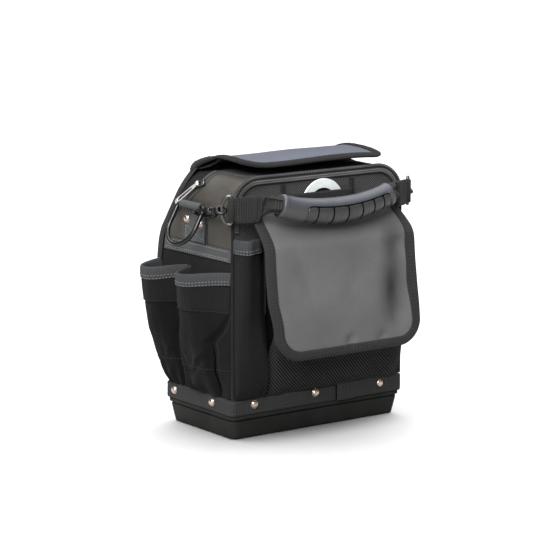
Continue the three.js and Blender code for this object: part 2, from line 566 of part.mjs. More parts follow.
// ---------------------------------------------------------------------- hardware
// round bar between two points
function rod(from, to, radius, sides = 12) {
  const axis = to.clone().sub(from).normalize();
  const a = Math.abs(axis.z) < 0.9 ? V(0, 0, 1).cross(axis).normalize() : V(1, 0, 0).cross(axis).normalize();
  const b = axis.clone().cross(a);
  const ring = (p) => Array.from({ length: sides }, (_, k) => {
    const t = 2 * Math.PI * k / sides;
    return p.clone().addScaledVector(a, radius * Math.cos(t)).addScaledVector(b, radius * Math.sin(t));
  });
  return loft([ring(from), ring(to)]);
}
// sleeve round an axis
function sleeve(from, to, inner, outer, sides = 16) {
  const axis = to.clone().sub(from).normalize();
  const a = Math.abs(axis.z) < 0.9 ? V(0, 0, 1).cross(axis).normalize() : V(1, 0, 0).cross(axis).normalize();
  const b = axis.clone().cross(a);
  const ring = (p, r) => Array.from({ length: sides }, (_, k) => {
    const t = 2 * Math.PI * k / sides;
    return p.clone().addScaledVector(a, r * Math.cos(t)).addScaledVector(b, r * Math.sin(t));
  });
  return loft([ring(from, outer), ring(to, outer), ring(to, inner), ring(from, inner)], true);
}
function both(name, geometry, finish) {
  add(`${name}_left`, geometry, finish);
  add(`${name}_right`, mirrored(geometry), finish);
}

// carrying ring: straight bar along Y, bow hanging down and leaning outward
const dDown = V(-Math.sin(D_TILT), 0, -Math.cos(D_TILT));
const dOut = V(-Math.cos(D_TILT), 0, Math.sin(D_TILT));
{
  const [x, y, z] = D_BAR, at = (a, k) => V(-x, y + a, z).addScaledVector(dDown, k);
  const path = [];
  for (let i = 0; i <= 4; i++) path.push(at(-D_HALF + D_CORNER * (1 - Math.sin(i / 4 * Math.PI / 2)), D_CORNER * (1 - Math.cos(i / 4 * Math.PI / 2))));
  for (let i = 0; i <= 12; i++) {
    const a = Math.PI - Math.PI * i / 12;
    path.push(at(D_HALF * Math.cos(a), D_SIDE + (D_LONG - D_SIDE) * Math.sin(a)));
  }
  for (let i = 4; i >= 0; i--) path.push(at(D_HALF - D_CORNER * (1 - Math.sin(i / 4 * Math.PI / 2)), D_CORNER * (1 - Math.cos(i / 4 * Math.PI / 2))));
  both('d_ring', wire(path, D_WIRE, dOut, 6), FINISH.hardware);
}
// webbing tab sewn on the end and looped round the ring's bar
{
  const [x, y, z] = D_BAR, y0 = y - TAB_HALF, y1 = y + TAB_HALF, inner = D_WIRE + GAP, outer = inner + 2;
  const loopEye = sleeve(V(-x, y0, z), V(-x, y1, z), inner, outer, 12);
  const wallX = (h) => endX(h, y1) + GAP;
  const rows = [243.5, 262, 278, 286].map((h, i) => ({ z: h, x: [wallX(243.5), wallX(262), wallX(278), x - outer + 0.2][i] }));
  const face = (t) => (u, v) => {
    const r = rows[Math.round(v * (rows.length - 1))];
    return V(-(r.x + t), y0 + (y1 - y0) * u, r.z);
  };
  both('tab', join(plate(2, rows.length - 1, face(2), face(0)), loopEye), FINISH.grey_web);
  const TAB_RIVETS = [{ name: 'rear', y: 22, z: 270 }, { name: 'front', y: -8, z: 267 }];
  for (const r of TAB_RIVETS) {
    const g = rivet(V(-(wallX(270) + 2 + GAP), r.y, r.z), V(-1, 0, 0));
    add(`tab_rivet_${r.name}_left`, g, FINISH.rivet);
    add(`tab_rivet_${r.name}_right`, rivet(V(wallX(270) + 2 + GAP, r.y, r.z), V(1, 0, 0)), FINISH.rivet);
  }
}
// small ring at the end of each strap, bow turned towards the hook
const smallDir = V(-0.75, 0.66, 0).normalize();
{
  const [x, y, z] = SMALL_BAR, at = (h, k) => V(-x, y, z + h).addScaledVector(smallDir, k);
  const path = [], c = 2.5;
  for (let i = 0; i <= 3; i++) path.push(at(-SMALL_HALF + c * (1 - Math.sin(i / 3 * Math.PI / 2)), c * (1 - Math.cos(i / 3 * Math.PI / 2))));
  for (let i = 1; i <= 11; i++) {
    const a = Math.PI - Math.PI * i / 12;
    path.push(at(SMALL_HALF * Math.cos(a), c + (SMALL_DEEP - c) * Math.sin(a)));
  }
  for (let i = 3; i >= 0; i--) path.push(at(SMALL_HALF - c * (1 - Math.sin(i / 3 * Math.PI / 2)), c * (1 - Math.cos(i / 3 * Math.PI / 2))));
  both('small_ring', wire(path, SMALL_WIRE, V(smallDir.y, -smallDir.x, 0), 6), FINISH.hardware);
}
// snap hook: eye, swivel barrel and hook in one; spring gate apart
const hookO = V(-HOOK_AXIS[0], HOOK_AXIS[1], HOOK_AXIS[2]);
const hookA = V(0.03, 0.985, -0.17).normalize();
const hookG = dOut.clone().addScaledVector(hookA, -dOut.dot(hookA)).normalize();
const hookN = hookA.clone().cross(hookG).normalize();
const hookAt = (s, q) => hookO.clone().addScaledVector(hookA, s).addScaledVector(hookG, q);
const GATE_PIVOT = [3.5, 6], GATE_TIP = 30.2, HOOK_WIRE = 2.3;
const HOOK_PATH = [
  { s: -2, q: -1 }, { s: 2.5, q: -4 }, { s: 8, q: -8.5 }, { s: 15, q: -11.2 }, { s: 23, q: -11.8 },
  { s: 31.5, q: -10.6 }, { s: 37.6, q: -6.4 }, { s: 40, q: -0.5 }, { s: 38.6, q: 4.2 }, { s: 33.4, q: 6.2 },
];
{
  const tip = V(-SMALL_BAR[0], SMALL_BAR[1], SMALL_BAR[2]).addScaledVector(smallDir, SMALL_DEEP);
  const eyeMid = V(tip.x, tip.y + 0.9, SMALL_BAR[2] + 0.2), eyeR = 5.3, eyeWire = 1.7;
  const eye = wire(Array.from({ length: 12 }, (_, i) => {
    const a = 2 * Math.PI * i / 12;
    return eyeMid.clone().add(V(eyeR * Math.cos(a), eyeR * Math.sin(a), 0));
  }), eyeWire, V(0, 0, 1), 6);
  const barrel = rod(V(eyeMid.x, eyeMid.y + eyeR - 0.6, eyeMid.z), hookAt(0.5, 0), 4.2, 10);
  const bow = wire(HOOK_PATH.map((p) => hookAt(p.s, p.q)), HOOK_WIRE, hookN, 6, false);
  // ears that carry the gate's pin
  const ear = (off) => {
    const p = (s, q, n) => hookAt(s, q).addScaledVector(hookN, off + n);
    const ring = (n) => [p(-3, 1, n), p(1.5, 1, n), p(5, 5, n), p(5, 7.4, n), p(2.2, 7.8, n), p(-2, 4, n)];
    return loft([ring(-0.6), ring(0.6)]);
  };
  const pin = rod(hookAt(...GATE_PIVOT).addScaledVector(hookN, -2.6), hookAt(...GATE_PIVOT).addScaledVector(hookN, 2.6), 0.7, 8);
  both('hook', join(eye, barrel, bow, ear(-2.6), ear(2.6), pin), FINISH.hardware);
  const sleeveEye = sleeve(hookAt(...GATE_PIVOT).addScaledVector(hookN, -1.6), hookAt(...GATE_PIVOT).addScaledVector(hookN, 1.6), 1.1, 2.1, 12);
  const bar = (s) => [[-1.6, 4.9], [1.6, 4.9], [1.6, 7.3], [-1.6, 7.3]].map(([n, q]) => hookAt(s, q).addScaledVector(hookN, n));
  both('gate', join(sleeveEye, loft([bar(GATE_PIVOT[0] + 1.5), bar(GATE_TIP)])), FINISH.hardware);
}

// -------------------------------------------------------------------- handle
{
  const [x, y, z] = SMALL_BAR;
  const eye = sleeve(V(-x, y, z - 14.4), V(-x, y, z + 14.4), SMALL_WIRE + GAP, SMALL_WIRE + GAP + 2.2, 10);
  const rings = STRAP.map((r, i) => {
    const p = STRAP[Math.max(0, i - 1)], q = STRAP[Math.min(STRAP.length - 1, i + 1)];
    const along = i === STRAP.length - 1 ? V(1, -0.06, 0).normalize() : V(q.x - p.x, q.y - p.y, 0).normalize(), across = V(-along.y, along.x, 0);
    return Array.from({ length: 12 }, (_, k) => {
      const a = 2 * Math.PI * k / 12, c = Math.cos(a), s = Math.sin(a);
      const rise = r.h / 2 * Math.sign(s) * Math.abs(s) ** 0.7;
      return V(r.x, r.y, r.z).addScaledVector(across, r.t / 2 * Math.sign(c) * Math.abs(c) ** 0.7)
        .add(V(r.lean * rise, 0, rise));
    });
  });
  const strap = join(loft(rings), eye);
  add('strap_left', strap, FINISH.black_web);
  const right = mirrored(strap);
  add('strap_right', right, FINISH.black_web);
}
{
  // smile-curved hand grip with a swelling at each end
  const END = 85.6, RISE = 13.5, LOW = 284.6, N = 16;
  const rings = Array.from({ length: N + 1 }, (_, i) => {
    const f = i / N * 2 - 1, x = END * f;
    const p = V(x, -110 + 2.6 * f * f, LOW + RISE * f * f);
    const along = V(END, 5.2 * f, 2 * RISE * f).normalize();
    const up = V(0, 0, 1).addScaledVector(along, -along.z).normalize(), side = along.clone().cross(up);
    const r = GRIP_R * (0.94 + 0.06 * Math.cos(Math.PI * f)) * (Math.abs(f) > 0.99 ? 0.93 : 1);
    return Array.from({ length: 14 }, (_, k) => {
      const a = 2 * Math.PI * k / 14;
      return p.clone().addScaledVector(up, r * 1.04 * Math.cos(a)).addScaledVector(side, r * 0.92 * Math.sin(a));
    });
  });
  add('grip', loft(rings), FINISH.grip);
}

// ------------------------------------------------------------- zip slider and pull
const PULL_PIN = V(-131.5, 4, 316), PULL_END = V(-136.4, 47, 287);
const pullD = PULL_END.clone().sub(PULL_PIN).normalize();
const pullO = V(-0.93, 0, 0.36).addScaledVector(pullD, 0).normalize();
const pullAxis = pullD.clone().cross(pullO).normalize();
const pullUp = pullAxis.clone().cross(pullD).normalize();
const pullAt = (k, h, o) => PULL_PIN.clone().addScaledVector(pullD, k).addScaledVector(pullAxis, h).addScaledVector(pullUp, o);
{
  const block = (k0, k1, h, o0, o1) => loft([[k0, -h], [k1, -h], [k1, h], [k0, h]].map(([k, w]) => [o0, o1].map((o) => pullAt(k, w, o)))
    .reduce((rings, [low, high]) => { rings[0].push(low); rings[1].push(high); return rings; }, [[], []]));
  const foot = block(-9, 5, 4.2, -6.4, -3.6);
  const earA = loft([[-2.4, -4], [2.4, -4], [1.4, 1.4], [-1.4, 1.4]].map(([k, o]) => pullAt(k, 0, o)).reduce((rings, p) => {
    rings[0].push(p.clone().addScaledVector(pullAxis, -4.2)); rings[1].push(p.clone().addScaledVector(pullAxis, -2.9)); return rings;
  }, [[], []]));
  const earB = loft([[-2.4, -4], [2.4, -4], [1.4, 1.4], [-1.4, 1.4]].map(([k, o]) => pullAt(k, 0, o)).reduce((rings, p) => {
    rings[0].push(p.clone().addScaledVector(pullAxis, 2.9)); rings[1].push(p.clone().addScaledVector(pullAxis, 4.2)); return rings;
  }, [[], []]));
  const pin = rod(pullAt(0, -3.6, 0), pullAt(0, 3.6, 0), 0.8, 8);
  add('zip_slider', join(foot, earA, earB, pin), FINISH.zip);
  const eye = sleeve(pullAt(0, -2.4, 0), pullAt(0, 2.4, 0), 1.2, 2.2, 12);
  const outline = (o) => [[1.7, -2], [8, -2.8], [44, -3.6], [50, -2.6], [51.5, 0], [50, 2.6], [44, 3.6], [8, 2.8], [1.7, 2]].map(([k, h]) => pullAt(k, h, o));
  const slot = (o) => [[12, -1.2], [42, -1.8], [45, 0], [42, 1.8], [12, 1.2]].map(([k, h]) => pullAt(k, h, o));
  const leaf = toSolid(loft([outline(-0.8), outline(0.8)])).subtract(toSolid(loft([slot(-3), slot(3)])));
  add('zip_pull', toGeometry(leaf.add(toSolid(eye))), FINISH.zip);
}

export default bag;
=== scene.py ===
"""Tool bag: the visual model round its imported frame. Lengths below are in
millimetres in the part's own frame (front towards -Y, +Z up) and become metres
when a mesh is made."""
import bpy
import math
import numpy as np
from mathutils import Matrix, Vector, noise


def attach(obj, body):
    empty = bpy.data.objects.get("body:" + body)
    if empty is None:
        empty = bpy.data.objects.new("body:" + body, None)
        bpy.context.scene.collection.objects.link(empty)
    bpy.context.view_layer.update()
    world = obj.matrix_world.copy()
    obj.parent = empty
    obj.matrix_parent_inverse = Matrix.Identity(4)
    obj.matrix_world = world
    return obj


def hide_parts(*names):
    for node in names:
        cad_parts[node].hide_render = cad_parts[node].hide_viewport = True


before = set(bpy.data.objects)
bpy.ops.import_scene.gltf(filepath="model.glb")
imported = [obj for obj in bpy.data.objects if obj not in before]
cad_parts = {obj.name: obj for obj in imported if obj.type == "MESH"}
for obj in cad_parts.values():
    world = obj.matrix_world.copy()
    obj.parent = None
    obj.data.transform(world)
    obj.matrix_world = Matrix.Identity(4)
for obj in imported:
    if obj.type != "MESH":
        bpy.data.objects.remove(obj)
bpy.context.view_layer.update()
MM = 0.001
PI = math.pi

# ------------------------------------------------------------------ dimensions
GAP, CLOTH, TAPE = 0.4, 2.0, 1.5
BODY_HALF, ARCH_TOP, ARCH_R, FOOT = 131.0, 329.0, 38.0, 31.4
FRONT_Y, WRAP_FRONT = -72.2, -69.8
BAND_TOP, BAND_HX, BAND_HY = 52.0, 133.9, 74.4
CX, CZ = BODY_HALF - ARCH_R, ARCH_TOP - ARCH_R
L1, L2 = CZ - FOOT, ARCH_R * PI / 2

BACK = dict(z=[31.4, 52, 100, 150, 206, 224, 237, 251, 266, 283, 298, 316, 324, 331],
            y=[71.6, 72, 77, 81, 83.5, 82, 80.5, 77, 69, 59, 50, 42.5, 39.6, 37.8],
            hw=[131, 131.2, 135.2, 138, 138.4, 138, 137.2, 136, 134.2, 132.4, 130.8, 124, 119, 114])
FLAP = dict(y=[-81, -90, -101, -109, -113.5, -116, -118.5, -119.5, -118.5, -116.8],
            z=[287, 275, 262, 251.5, 243, 218, 185, 150, 122, 103.5],
            xl=[-107, -110, -109, -108.5, -109, -109.5, -108.5, -101, -97, -97],
            xr=[111, 112.5, 117, 119.5, 119.5, 119.5, 121, 124.5, 127, 128])
TOP = dict(y=[36, 30, 22, 8, -8, -28, -50, -73], z=[333, 335.5, 339.5, 344.5, 346.5, 346.5, 344.8, 340.5],
           xl=[-108, -107, -104, -102, -103, -105, -106, -106], xr=[108, 107, 106, 106, 106, 106, 107, 107])
FRONT_POCKET = dict(z=[52.6, 62, 80, 105, 145, 190, 235], a=[-80, -80.5, -81, -81.5, -82, -82, -82],
                    b=[128, 128, 128.5, 129, 129, 129, 129], d=[3.2, 9, 15, 21, 26.5, 29, 29], fold=[0] * 7)
CORNER_POCKET = dict(z=[52.6, 66, 95, 140, 200, 255], a=[-129, -129.5, -130, -130, -130, -130],
                     b=[-86, -85, -84.6, -85, -86, -87], d=[3.2, 9, 13, 16, 18, 19], fold=[0] * 6)
REAR_POCKET = dict(z=[52.6, 66, 88, 125, 165, 208], a=[29.5, 28.5, 27, 25, 23, 21.5],
                   b=[66, 69.5, 72.6, 76, 78, 79], d=[3.2, 12, 20, 28.5, 34.5, 39], fold=[0, 0.1, 0.2, 0.1, 0, 0])
SIDE_POCKET = dict(z=[52.6, 66, 88, 125, 165, 208], a=[-66, -67.5, -68.5, -69, -69, -69],
                   b=[24, 23.2, 22, 20, 18, 16.5], d=[3.2, 15, 22.5, 26.5, 29.5, 33.5], fold=[0, 0.1, 0.25, 0.1, 0, 0])
# plans of the two side pockets, front to rear: place along, depth out
SIDE_PLAN = [(-1, 0), (-0.8, 0.1), (-0.52, 0.28), (-0.18, 0.62), (0.14, 0.92), (0.4, 1), (0.6, 0.96), (0.74, 0.83), (0.87, 0.56), (0.96, 0.24), (1, 0)]
REAR_PLAN = [(-1, 0), (-0.9, 0.07), (-0.72, 0.19), (-0.46, 0.5), (-0.14, 0.86), (0.2, 1), (0.5, 0.99), (0.74, 0.9), (0.92, 0.66), (0.99, 0.34), (1, 0)]
STRAP = dict(x=[-134.4, -127, -113, -102, -94, -87.6], y=[-81.5, -85.4, -93.6, -99.2, -103, -106.7],
             z=[293.5, 293.3, 294.2, 295.4, 296.8, 297.6], h=[29, 33, 33, 31, 27, 24], t=[3.2, 3.6, 4.6, 10, 18, 20],
             lean=[0, 0, 0, 0.1, 0.2, 0.31])
TAUPE_EDGE = dict(z=[242, 262, 280, 295, 308, 313, 319, 328.5], y=[74, 58, 40, 24, 10, 5, 1.5, 0.5])

# ------------------------------------------------------------------- the maths


def smooth(xs, ys, x):
    """Monotone cubic through a table's rows."""
    xs, ys, x = np.asarray(xs, float), np.asarray(ys, float), np.asarray(x, float)
    if xs[0] > xs[-1]:
        xs, ys = xs[::-1], ys[::-1]
    h, dlt = np.diff(xs), np.diff(ys) / np.diff(xs)
    m = np.zeros_like(ys)
    m[0], m[-1] = dlt[0], dlt[-1]
    for i in range(1, len(xs) - 1):
        if dlt[i - 1] * dlt[i] > 0:
            w1, w2 = 2 * h[i] + h[i - 1], h[i] + 2 * h[i - 1]
            m[i] = (w1 + w2) / (w1 / dlt[i - 1] + w2 / dlt[i])
    x = np.clip(x, xs[0], xs[-1])
    i = np.clip(np.searchsorted(xs, x) - 1, 0, len(xs) - 2)
    t = (x - xs[i]) / h[i]
    return ((2 * t**3 - 3 * t**2 + 1) * ys[i] + (t**3 - 2 * t**2 + t) * h[i] * m[i]
            + (-2 * t**3 + 3 * t**2) * ys[i + 1] + (t**3 - t**2) * h[i] * m[i + 1])


def step(a, b, x):
    t = np.clip((np.asarray(x, float) - a) / (b - a), 0, 1)
    return t * t * (3 - 2 * t)


def bump(x, c, r):
    return np.exp(-((np.asarray(x, float) - c) / r) ** 2)


def wobble(P, scale, seed):
    """Smooth noise in -1..1 at each point of a grid."""
    flat = np.asarray(P).reshape(-1, 3) / scale + np.array([seed * 7.31, seed * 3.17, seed * 5.71])
    return np.array([noise.noise(Vector(p)) for p in flat]).reshape(np.asarray(P).shape[:-1])


def normalise(v):
    return v / np.maximum(np.linalg.norm(v, axis=-1, keepdims=True), 1e-9)


def grid(fn, nu, nv, u=(0, 1), v=(0, 1)):
    V, U = np.meshgrid(np.linspace(*v, nv + 1), np.linspace(*u, nu + 1), indexing="ij")
    return fn(U, V)


def grid_normals(P):
    return normalise(np.cross(np.gradient(P, axis=1), np.gradient(P, axis=0)))


def back_y(z):
    return smooth(BACK["z"], BACK["y"], z)


def back_half(z):
    return smooth(BACK["z"], BACK["hw"], z)


def end_bulge(z, y):
    f = np.clip((np.asarray(z, float) - 55) / 245, 0, 1)
    t = np.clip((np.asarray(y, float) - WRAP_FRONT) / (80 - WRAP_FRONT), 0, 1)
    return 6.6 * np.sin(PI * f) * t


def arch(s, y, off=0.0):
    """Point of the arched wall at run s up the left side and over the top, off out from it."""
    s, y = np.broadcast_arrays(np.asarray(s, float), np.asarray(y, float))
    a = np.clip((s - L1) / ARCH_R, 0, PI / 2)
    z0 = FOOT + np.clip(s, None, L1)
    r = ARCH_R + off
    x = -(CX + r * np.cos(a) + end_bulge(z0, y) * np.cos(a)) + np.clip(s - L1 - L2, 0, None)
    z = z0 + r * np.sin(a)
    return np.stack([x, y, z], -1)


def arch_run(z):
    """Run up the left side at a height."""
    z = np.asarray(z, float)
    return np.where(z <= CZ, z - FOOT, L1 + ARCH_R * np.arcsin(np.clip((z - CZ) / ARCH_R, 0, 1)))


class Flap:
    def __init__(self, t, rl, rr):
        y, z = np.array(t["y"], float), np.array(t["z"], float)
        # smooth path through the rows, then even run along it
        k = np.arange(len(y))
        kk = np.linspace(0, len(y) - 1, 400)
        py, pz = smooth(k, y, kk), smooth(k, z, kk)
        ker = np.ones(25) / 25
        pad = lambda q: np.convolve(np.concatenate([2 * q[0] - q[12:0:-1], q, 2 * q[-1] - q[-2:-14:-1]]), ker, "valid")
        py, pz = pad(py), pad(pz)
        s = np.concatenate([[0], np.cumsum(np.hypot(np.diff(py), np.diff(pz)))])
        self.s, self.py, self.pz, self.long = s, py, pz, s[-1]
        self.xl, self.xr = smooth(k, t["xl"], kk), smooth(k, t["xr"], kk)
        self.rl, self.rr = rl, rr
        self.extra = None

    def left(self, s):
        return np.interp(s, self.s, self.xl)

    def right(self, s):
        return np.interp(s, self.s, self.xr)

    def round_in(self, s, r):
        k = np.clip(s - (self.long - r), 0, r)
        return r - np.sqrt(np.maximum(0, r * r - k * k))

    def place(self, x, s, off):
        s = np.asarray(s, float)
        e = 2.0
        dy = np.interp(s + e, self.s, self.py) - np.interp(s - e, self.s, self.py)
        dz = np.interp(s + e, self.s, self.pz) - np.interp(s - e, self.s, self.pz)
        m = np.maximum(np.hypot(dy, dz), 1e-9)
        y, z = np.interp(s, self.s, self.py), np.interp(s, self.s, self.pz)
        o = off + (self.extra(x, s, z) if self.extra else 0)
        return np.stack([np.broadcast_to(x, y.shape), y + o * dz / m, z - o * dy / m], -1)

    def sheet(self, off, inset=0.0):
        def fn(U, V):
            s = self.long * (1 - (1 - V) ** 1.25) * 1.0
            s = np.minimum(s, self.long - inset)
            l = self.left(s) + self.round_in(s, self.rl) * 0.985 + inset
            r = self.right(s) - self.round_in(s, self.rr) * 0.985 - inset
            return self.place(l + (r - l) * U, s, off)
        return fn

    def edge(self, n_side, n_arc, n_hem):
        """The edge as (kind, value) rows: left side, hem with its corners, right side."""
        L, rows = self.long, []
        for i in range(n_side):
            rows.append((0, (L - self.rl) * i / n_side))
        for i in range(n_arc + 1):
            rows.append((1, i / n_arc * PI / 2))
        for i in range(1, n_hem):
            rows.append((2, i / n_hem))
        for i in range(n_arc + 1):
            rows.append((3, (1 - i / n_arc) * PI / 2))
        for i in range(1, n_side + 1):
            rows.append((4, (L - self.rr) * (1 - i / n_side)))
        return rows

    def at_edge(self, row, d):
        """(x, s) a distance d in from the edge."""
        k, v = row
        L = self.long
        if k == 0:
            return self.left(v) + d, v
        if k == 4:
            return self.right(v) - d, v
        if k == 1:
            return self.left(L - self.rl) + self.rl - (self.rl - d) * math.cos(v), L - self.rl + (self.rl - d) * math.sin(v)
        if k == 3:
            return self.right(L - self.rr) - self.rr + (self.rr - d) * math.cos(v), L - self.rr + (self.rr - d) * math.sin(v)
        a, b = self.left(L - self.rl) + self.rl, self.right(L - self.rr) - self.rr
        return a + (b - a) * v, L - d


def front_wall(a, d, z):
    return np.stack([a, FRONT_Y - GAP - d, z + 0 * a], -1)


def left_wall(a, d, z):
    return np.stack([-(BODY_HALF + end_bulge(z, a) + GAP + d), a, z + 0 * a], -1)


def plan_at(plan, U):
    """Share along and share out of a pocket's plan: even and rounded, or by points."""
    if isinstance(plan, float):
        c, s = -np.cos(PI * U), np.maximum(np.sin(PI * U), 0)
        return np.sign(c) * np.abs(c) ** plan, s ** plan
    k = np.linspace(0, 1, len(plan))
    return smooth(k, [q[0] for q in plan], U), np.maximum(smooth(k, [q[1] for q in plan], U), 0)


def pocket_fn(t, wall, plan, off=0.0, shape=None):
    """Outer face of an open pocket over u round its plan and v up its height."""
    def fn(U, V):
        z = t["z"][0] + (t["z"][-1] - t["z"][0]) * V
        a, b, d = (smooth(t["z"], t[k], z) for k in "abd")
        f = smooth(t["z"], t["fold"], z)
        c, s = plan_at(plan, U)
        along = (a + b) / 2 + ((b - a) / 2 + off) * c
        deep = (d * (1 - f * bump(U, 0.42, 0.1)) + off) * s
        if shape is not None:
            along, deep, z = shape(U, V, along, deep, z)
        return wall(along, deep, z)
    return fn


# ------------------------------------------------------------------ mesh makers
made = {}


def mesh_object(name, verts, faces, mat, uv=None, body="root", smooth_angle=40, slot=None):
    me = bpy.data.meshes.new(name)
    me.from_pydata((np.asarray(verts, float) * MM).tolist(), [], [tuple(int(i) for i in f) for f in faces])
    if uv is not None:
        layer = me.uv_layers.new(name="UVMap")
        idx = np.empty(len(me.loops), np.int32)
        me.loops.foreach_get("vertex_index", idx)
        layer.data.foreach_set("uv", (np.asarray(uv, float)[idx] * MM).astype(np.float32).ravel())
    me.materials.append(mat)
    me.polygons.foreach_set("use_smooth", [True] * len(me.polygons))
    me.update()
    if smooth_angle is not None:
        me.set_sharp_from_angle(angle=math.radians(smooth_angle))
    ob = bpy.data.objects.new(name, me)
    bpy.context.scene.collection.objects.link(ob)
    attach(ob, body)
    made[name] = ob
    return ob


def grid_uv(P):
    su = np.concatenate([np.zeros((P.shape[0], 1)), np.cumsum(np.linalg.norm(np.diff(P, axis=1), axis=-1), 1)], 1)
    sv = np.concatenate([np.zeros((1, P.shape[1])), np.cumsum(np.linalg.norm(np.diff(P, axis=0), axis=-1), 0)], 0)
    su = su - su[:, [P.shape[1] // 2]]
    return np.stack([su, sv], -1)


def shell_arrays(P, t, sign=1, edge=0.3):
    """Closed cloth wall from its outer face: vertices, faces and uv."""
    nv, nu = P.shape[0], P.shape[1]
    n = grid_normals(P) * sign
    Q = P - n * t
    uv = grid_uv(P)
    ring = [(0, j) for j in range(nu)] + [(i, nu - 1) for i in range(1, nv)]
    ring += [(nv - 1, j) for j in range(nu - 2, -1, -1)] + [(i, 0) for i in range(nv - 2, 0, -1)]
    ri, rj = np.array(ring).T
    ti = np.clip(ri + np.where(ri == 0, 1, np.where(ri == nv - 1, -1, 0)), 0, nv - 1)
    tj = np.clip(rj + np.where(rj == 0, 1, np.where(rj == nu - 1, -1, 0)), 0, nu - 1)
    out = normalise(P[ri, rj] - P[ti, tj])
    M = (P[ri, rj] + Q[ri, rj]) / 2 + out * edge * t
    base, m0 = nu * nv, 2 * nu * nv
    verts = np.concatenate([P.reshape(-1, 3), Q.reshape(-1, 3), M])
    uvs = np.concatenate([uv.reshape(-1, 2), uv.reshape(-1, 2), uv[ri, rj]])
    i, j = np.meshgrid(np.arange(nv - 1), np.arange(nu - 1), indexing="ij")
    a, b, c, d = (x.ravel() for x in (i * nu + j, i * nu + j + 1, (i + 1) * nu + j + 1, (i + 1) * nu + j))
    o = np.stack([a, b, c, d], 1)
    q = np.stack([a, d, c, b], 1) + base
    k = np.arange(len(ring))
    k2 = (k + 1) % len(ring)
    ok, ok2 = ri * nu + rj, (ri * nu + rj)[k2]
    r1 = np.stack([ok, m0 + k, m0 + k2, ok2], 1)
    r2 = np.stack([m0 + k, base + ok, base + ok2, m0 + k2], 1)
    faces = np.concatenate([o, q, r1, r2])
    if sign < 0:
        faces = faces[:, ::-1]
    return verts, faces, uvs


def shell(name, P, t, mat, sign=1, edge=0.3, **kw):
    v, f, uv = shell_arrays(P, t, sign, edge)
    return mesh_object(name, v, f, mat, uv, **kw)


def area_of(P):
    a, b, c, d = P[:-1, :-1], P[:-1, 1:], P[1:, 1:], P[1:, :-1]
    n = np.linalg.norm
    return float((n(np.cross(b - a, c - a), axis=-1) + n(np.cross(c - a, d - a), axis=-1)).sum() / 2)


def declare(P):
    """A cloth piece's cut, measured along its own face."""
    w = np.linalg.norm(np.diff(P, axis=1), axis=-1).sum(1).max()
    l = np.linalg.norm(np.diff(P, axis=0), axis=-1).sum(0).max()
    a = area_of(P)
    w, l = round(w / 1000, 4), round(l / 1000, 4)


def mirror(P):
    return P * np.array([-1.0, 1, 1])


def loft_arrays(rings, closed=False, cap=True):
    R = np.asarray(rings, float)
    m, n = R.shape[0], R.shape[1]
    verts = R.reshape(-1, 3)
    faces = []
    for r in range(m if closed else m - 1):
        s = (r + 1) % m
        for i in range(n):
            j = (i + 1) % n
            faces.append((r * n + i, r * n + j, s * n + j, s * n + i))
    if not closed and cap:
        faces.append(tuple(range(n - 1, -1, -1)))
        faces.append(tuple((m - 1) * n + i for i in range(n)))
    du = np.linalg.norm(np.roll(R, -1, 1) - R, axis=-1)
    su = np.concatenate([np.zeros((m, 1)), np.cumsum(du, 1)[:, :-1]], 1)
    dv = np.linalg.norm(np.diff(R, axis=0), axis=-1).mean(1)
    sv = np.concatenate([[0], np.cumsum(dv)])
    uv = np.stack([su, np.repeat(sv[:, None], n, 1)], -1).reshape(-1, 2)
    vol = 0.0
    for f in faces:
        p = verts[list(f)]
        for k in range(1, len(f) - 1):
            vol += np.dot(p[0], np.cross(p[k], p[k + 1]))
    if vol < 0:
        faces = [f[::-1] for f in faces]
    return verts, faces, uv


def tube_rings(path, radius, sides=12, closed=False, up=None):
    """Rings of a round tube along a path, without twist; radius may vary along it."""
    P = np.asarray(path, float)
    T = normalise(np.gradient(P, axis=0) if not closed else np.roll(P, -1, 0) - np.roll(P, 1, 0))
    rad = np.broadcast_to(radius, len(P))
    n = np.asarray(up if up is not None else ([0, 0, 1] if abs(T[0][2]) < 0.9 else [1, 0, 0]), float)
    rings = []
    a = 2 * PI * np.arange(sides) / sides
    for p, t, r in zip(P, T, rad):
        n = n - t * np.dot(n, t)
        n = n / np.linalg.norm(n)
        b = np.cross(t, n)
        rings.append(p + r * (np.cos(a)[:, None] * n + np.sin(a)[:, None] * b))
    return np.array(rings)


def join_arrays(parts):
    V, F, U, k = [], [], [], 0
    for v, f, uv in parts:
        V.append(np.asarray(v, float))
        U.append(np.asarray(uv, float))
        F += [tuple(int(i) + k for i in q) for q in f]
        k += len(v)
    return np.concatenate(V), F, np.concatenate(U)


def lathe_arrays(profile, at, axis, sides=28):
    """Profile of (radius, height) rows turned about an axis; starts and ends on it."""
    axis = np.asarray(axis, float)
    n = np.array([0, 0, 1.0]) if abs(axis[2]) < 0.9 else np.array([1.0, 0, 0])
    n = n - axis * n.dot(axis)
    n /= np.linalg.norm(n)
    b = np.cross(axis, n)
    a = 2 * PI * np.arange(sides) / sides
    rings = [np.asarray(at) + axis * h + r * (np.cos(a)[:, None] * n + np.sin(a)[:, None] * b) for r, h in profile]
    return loft_arrays(rings)


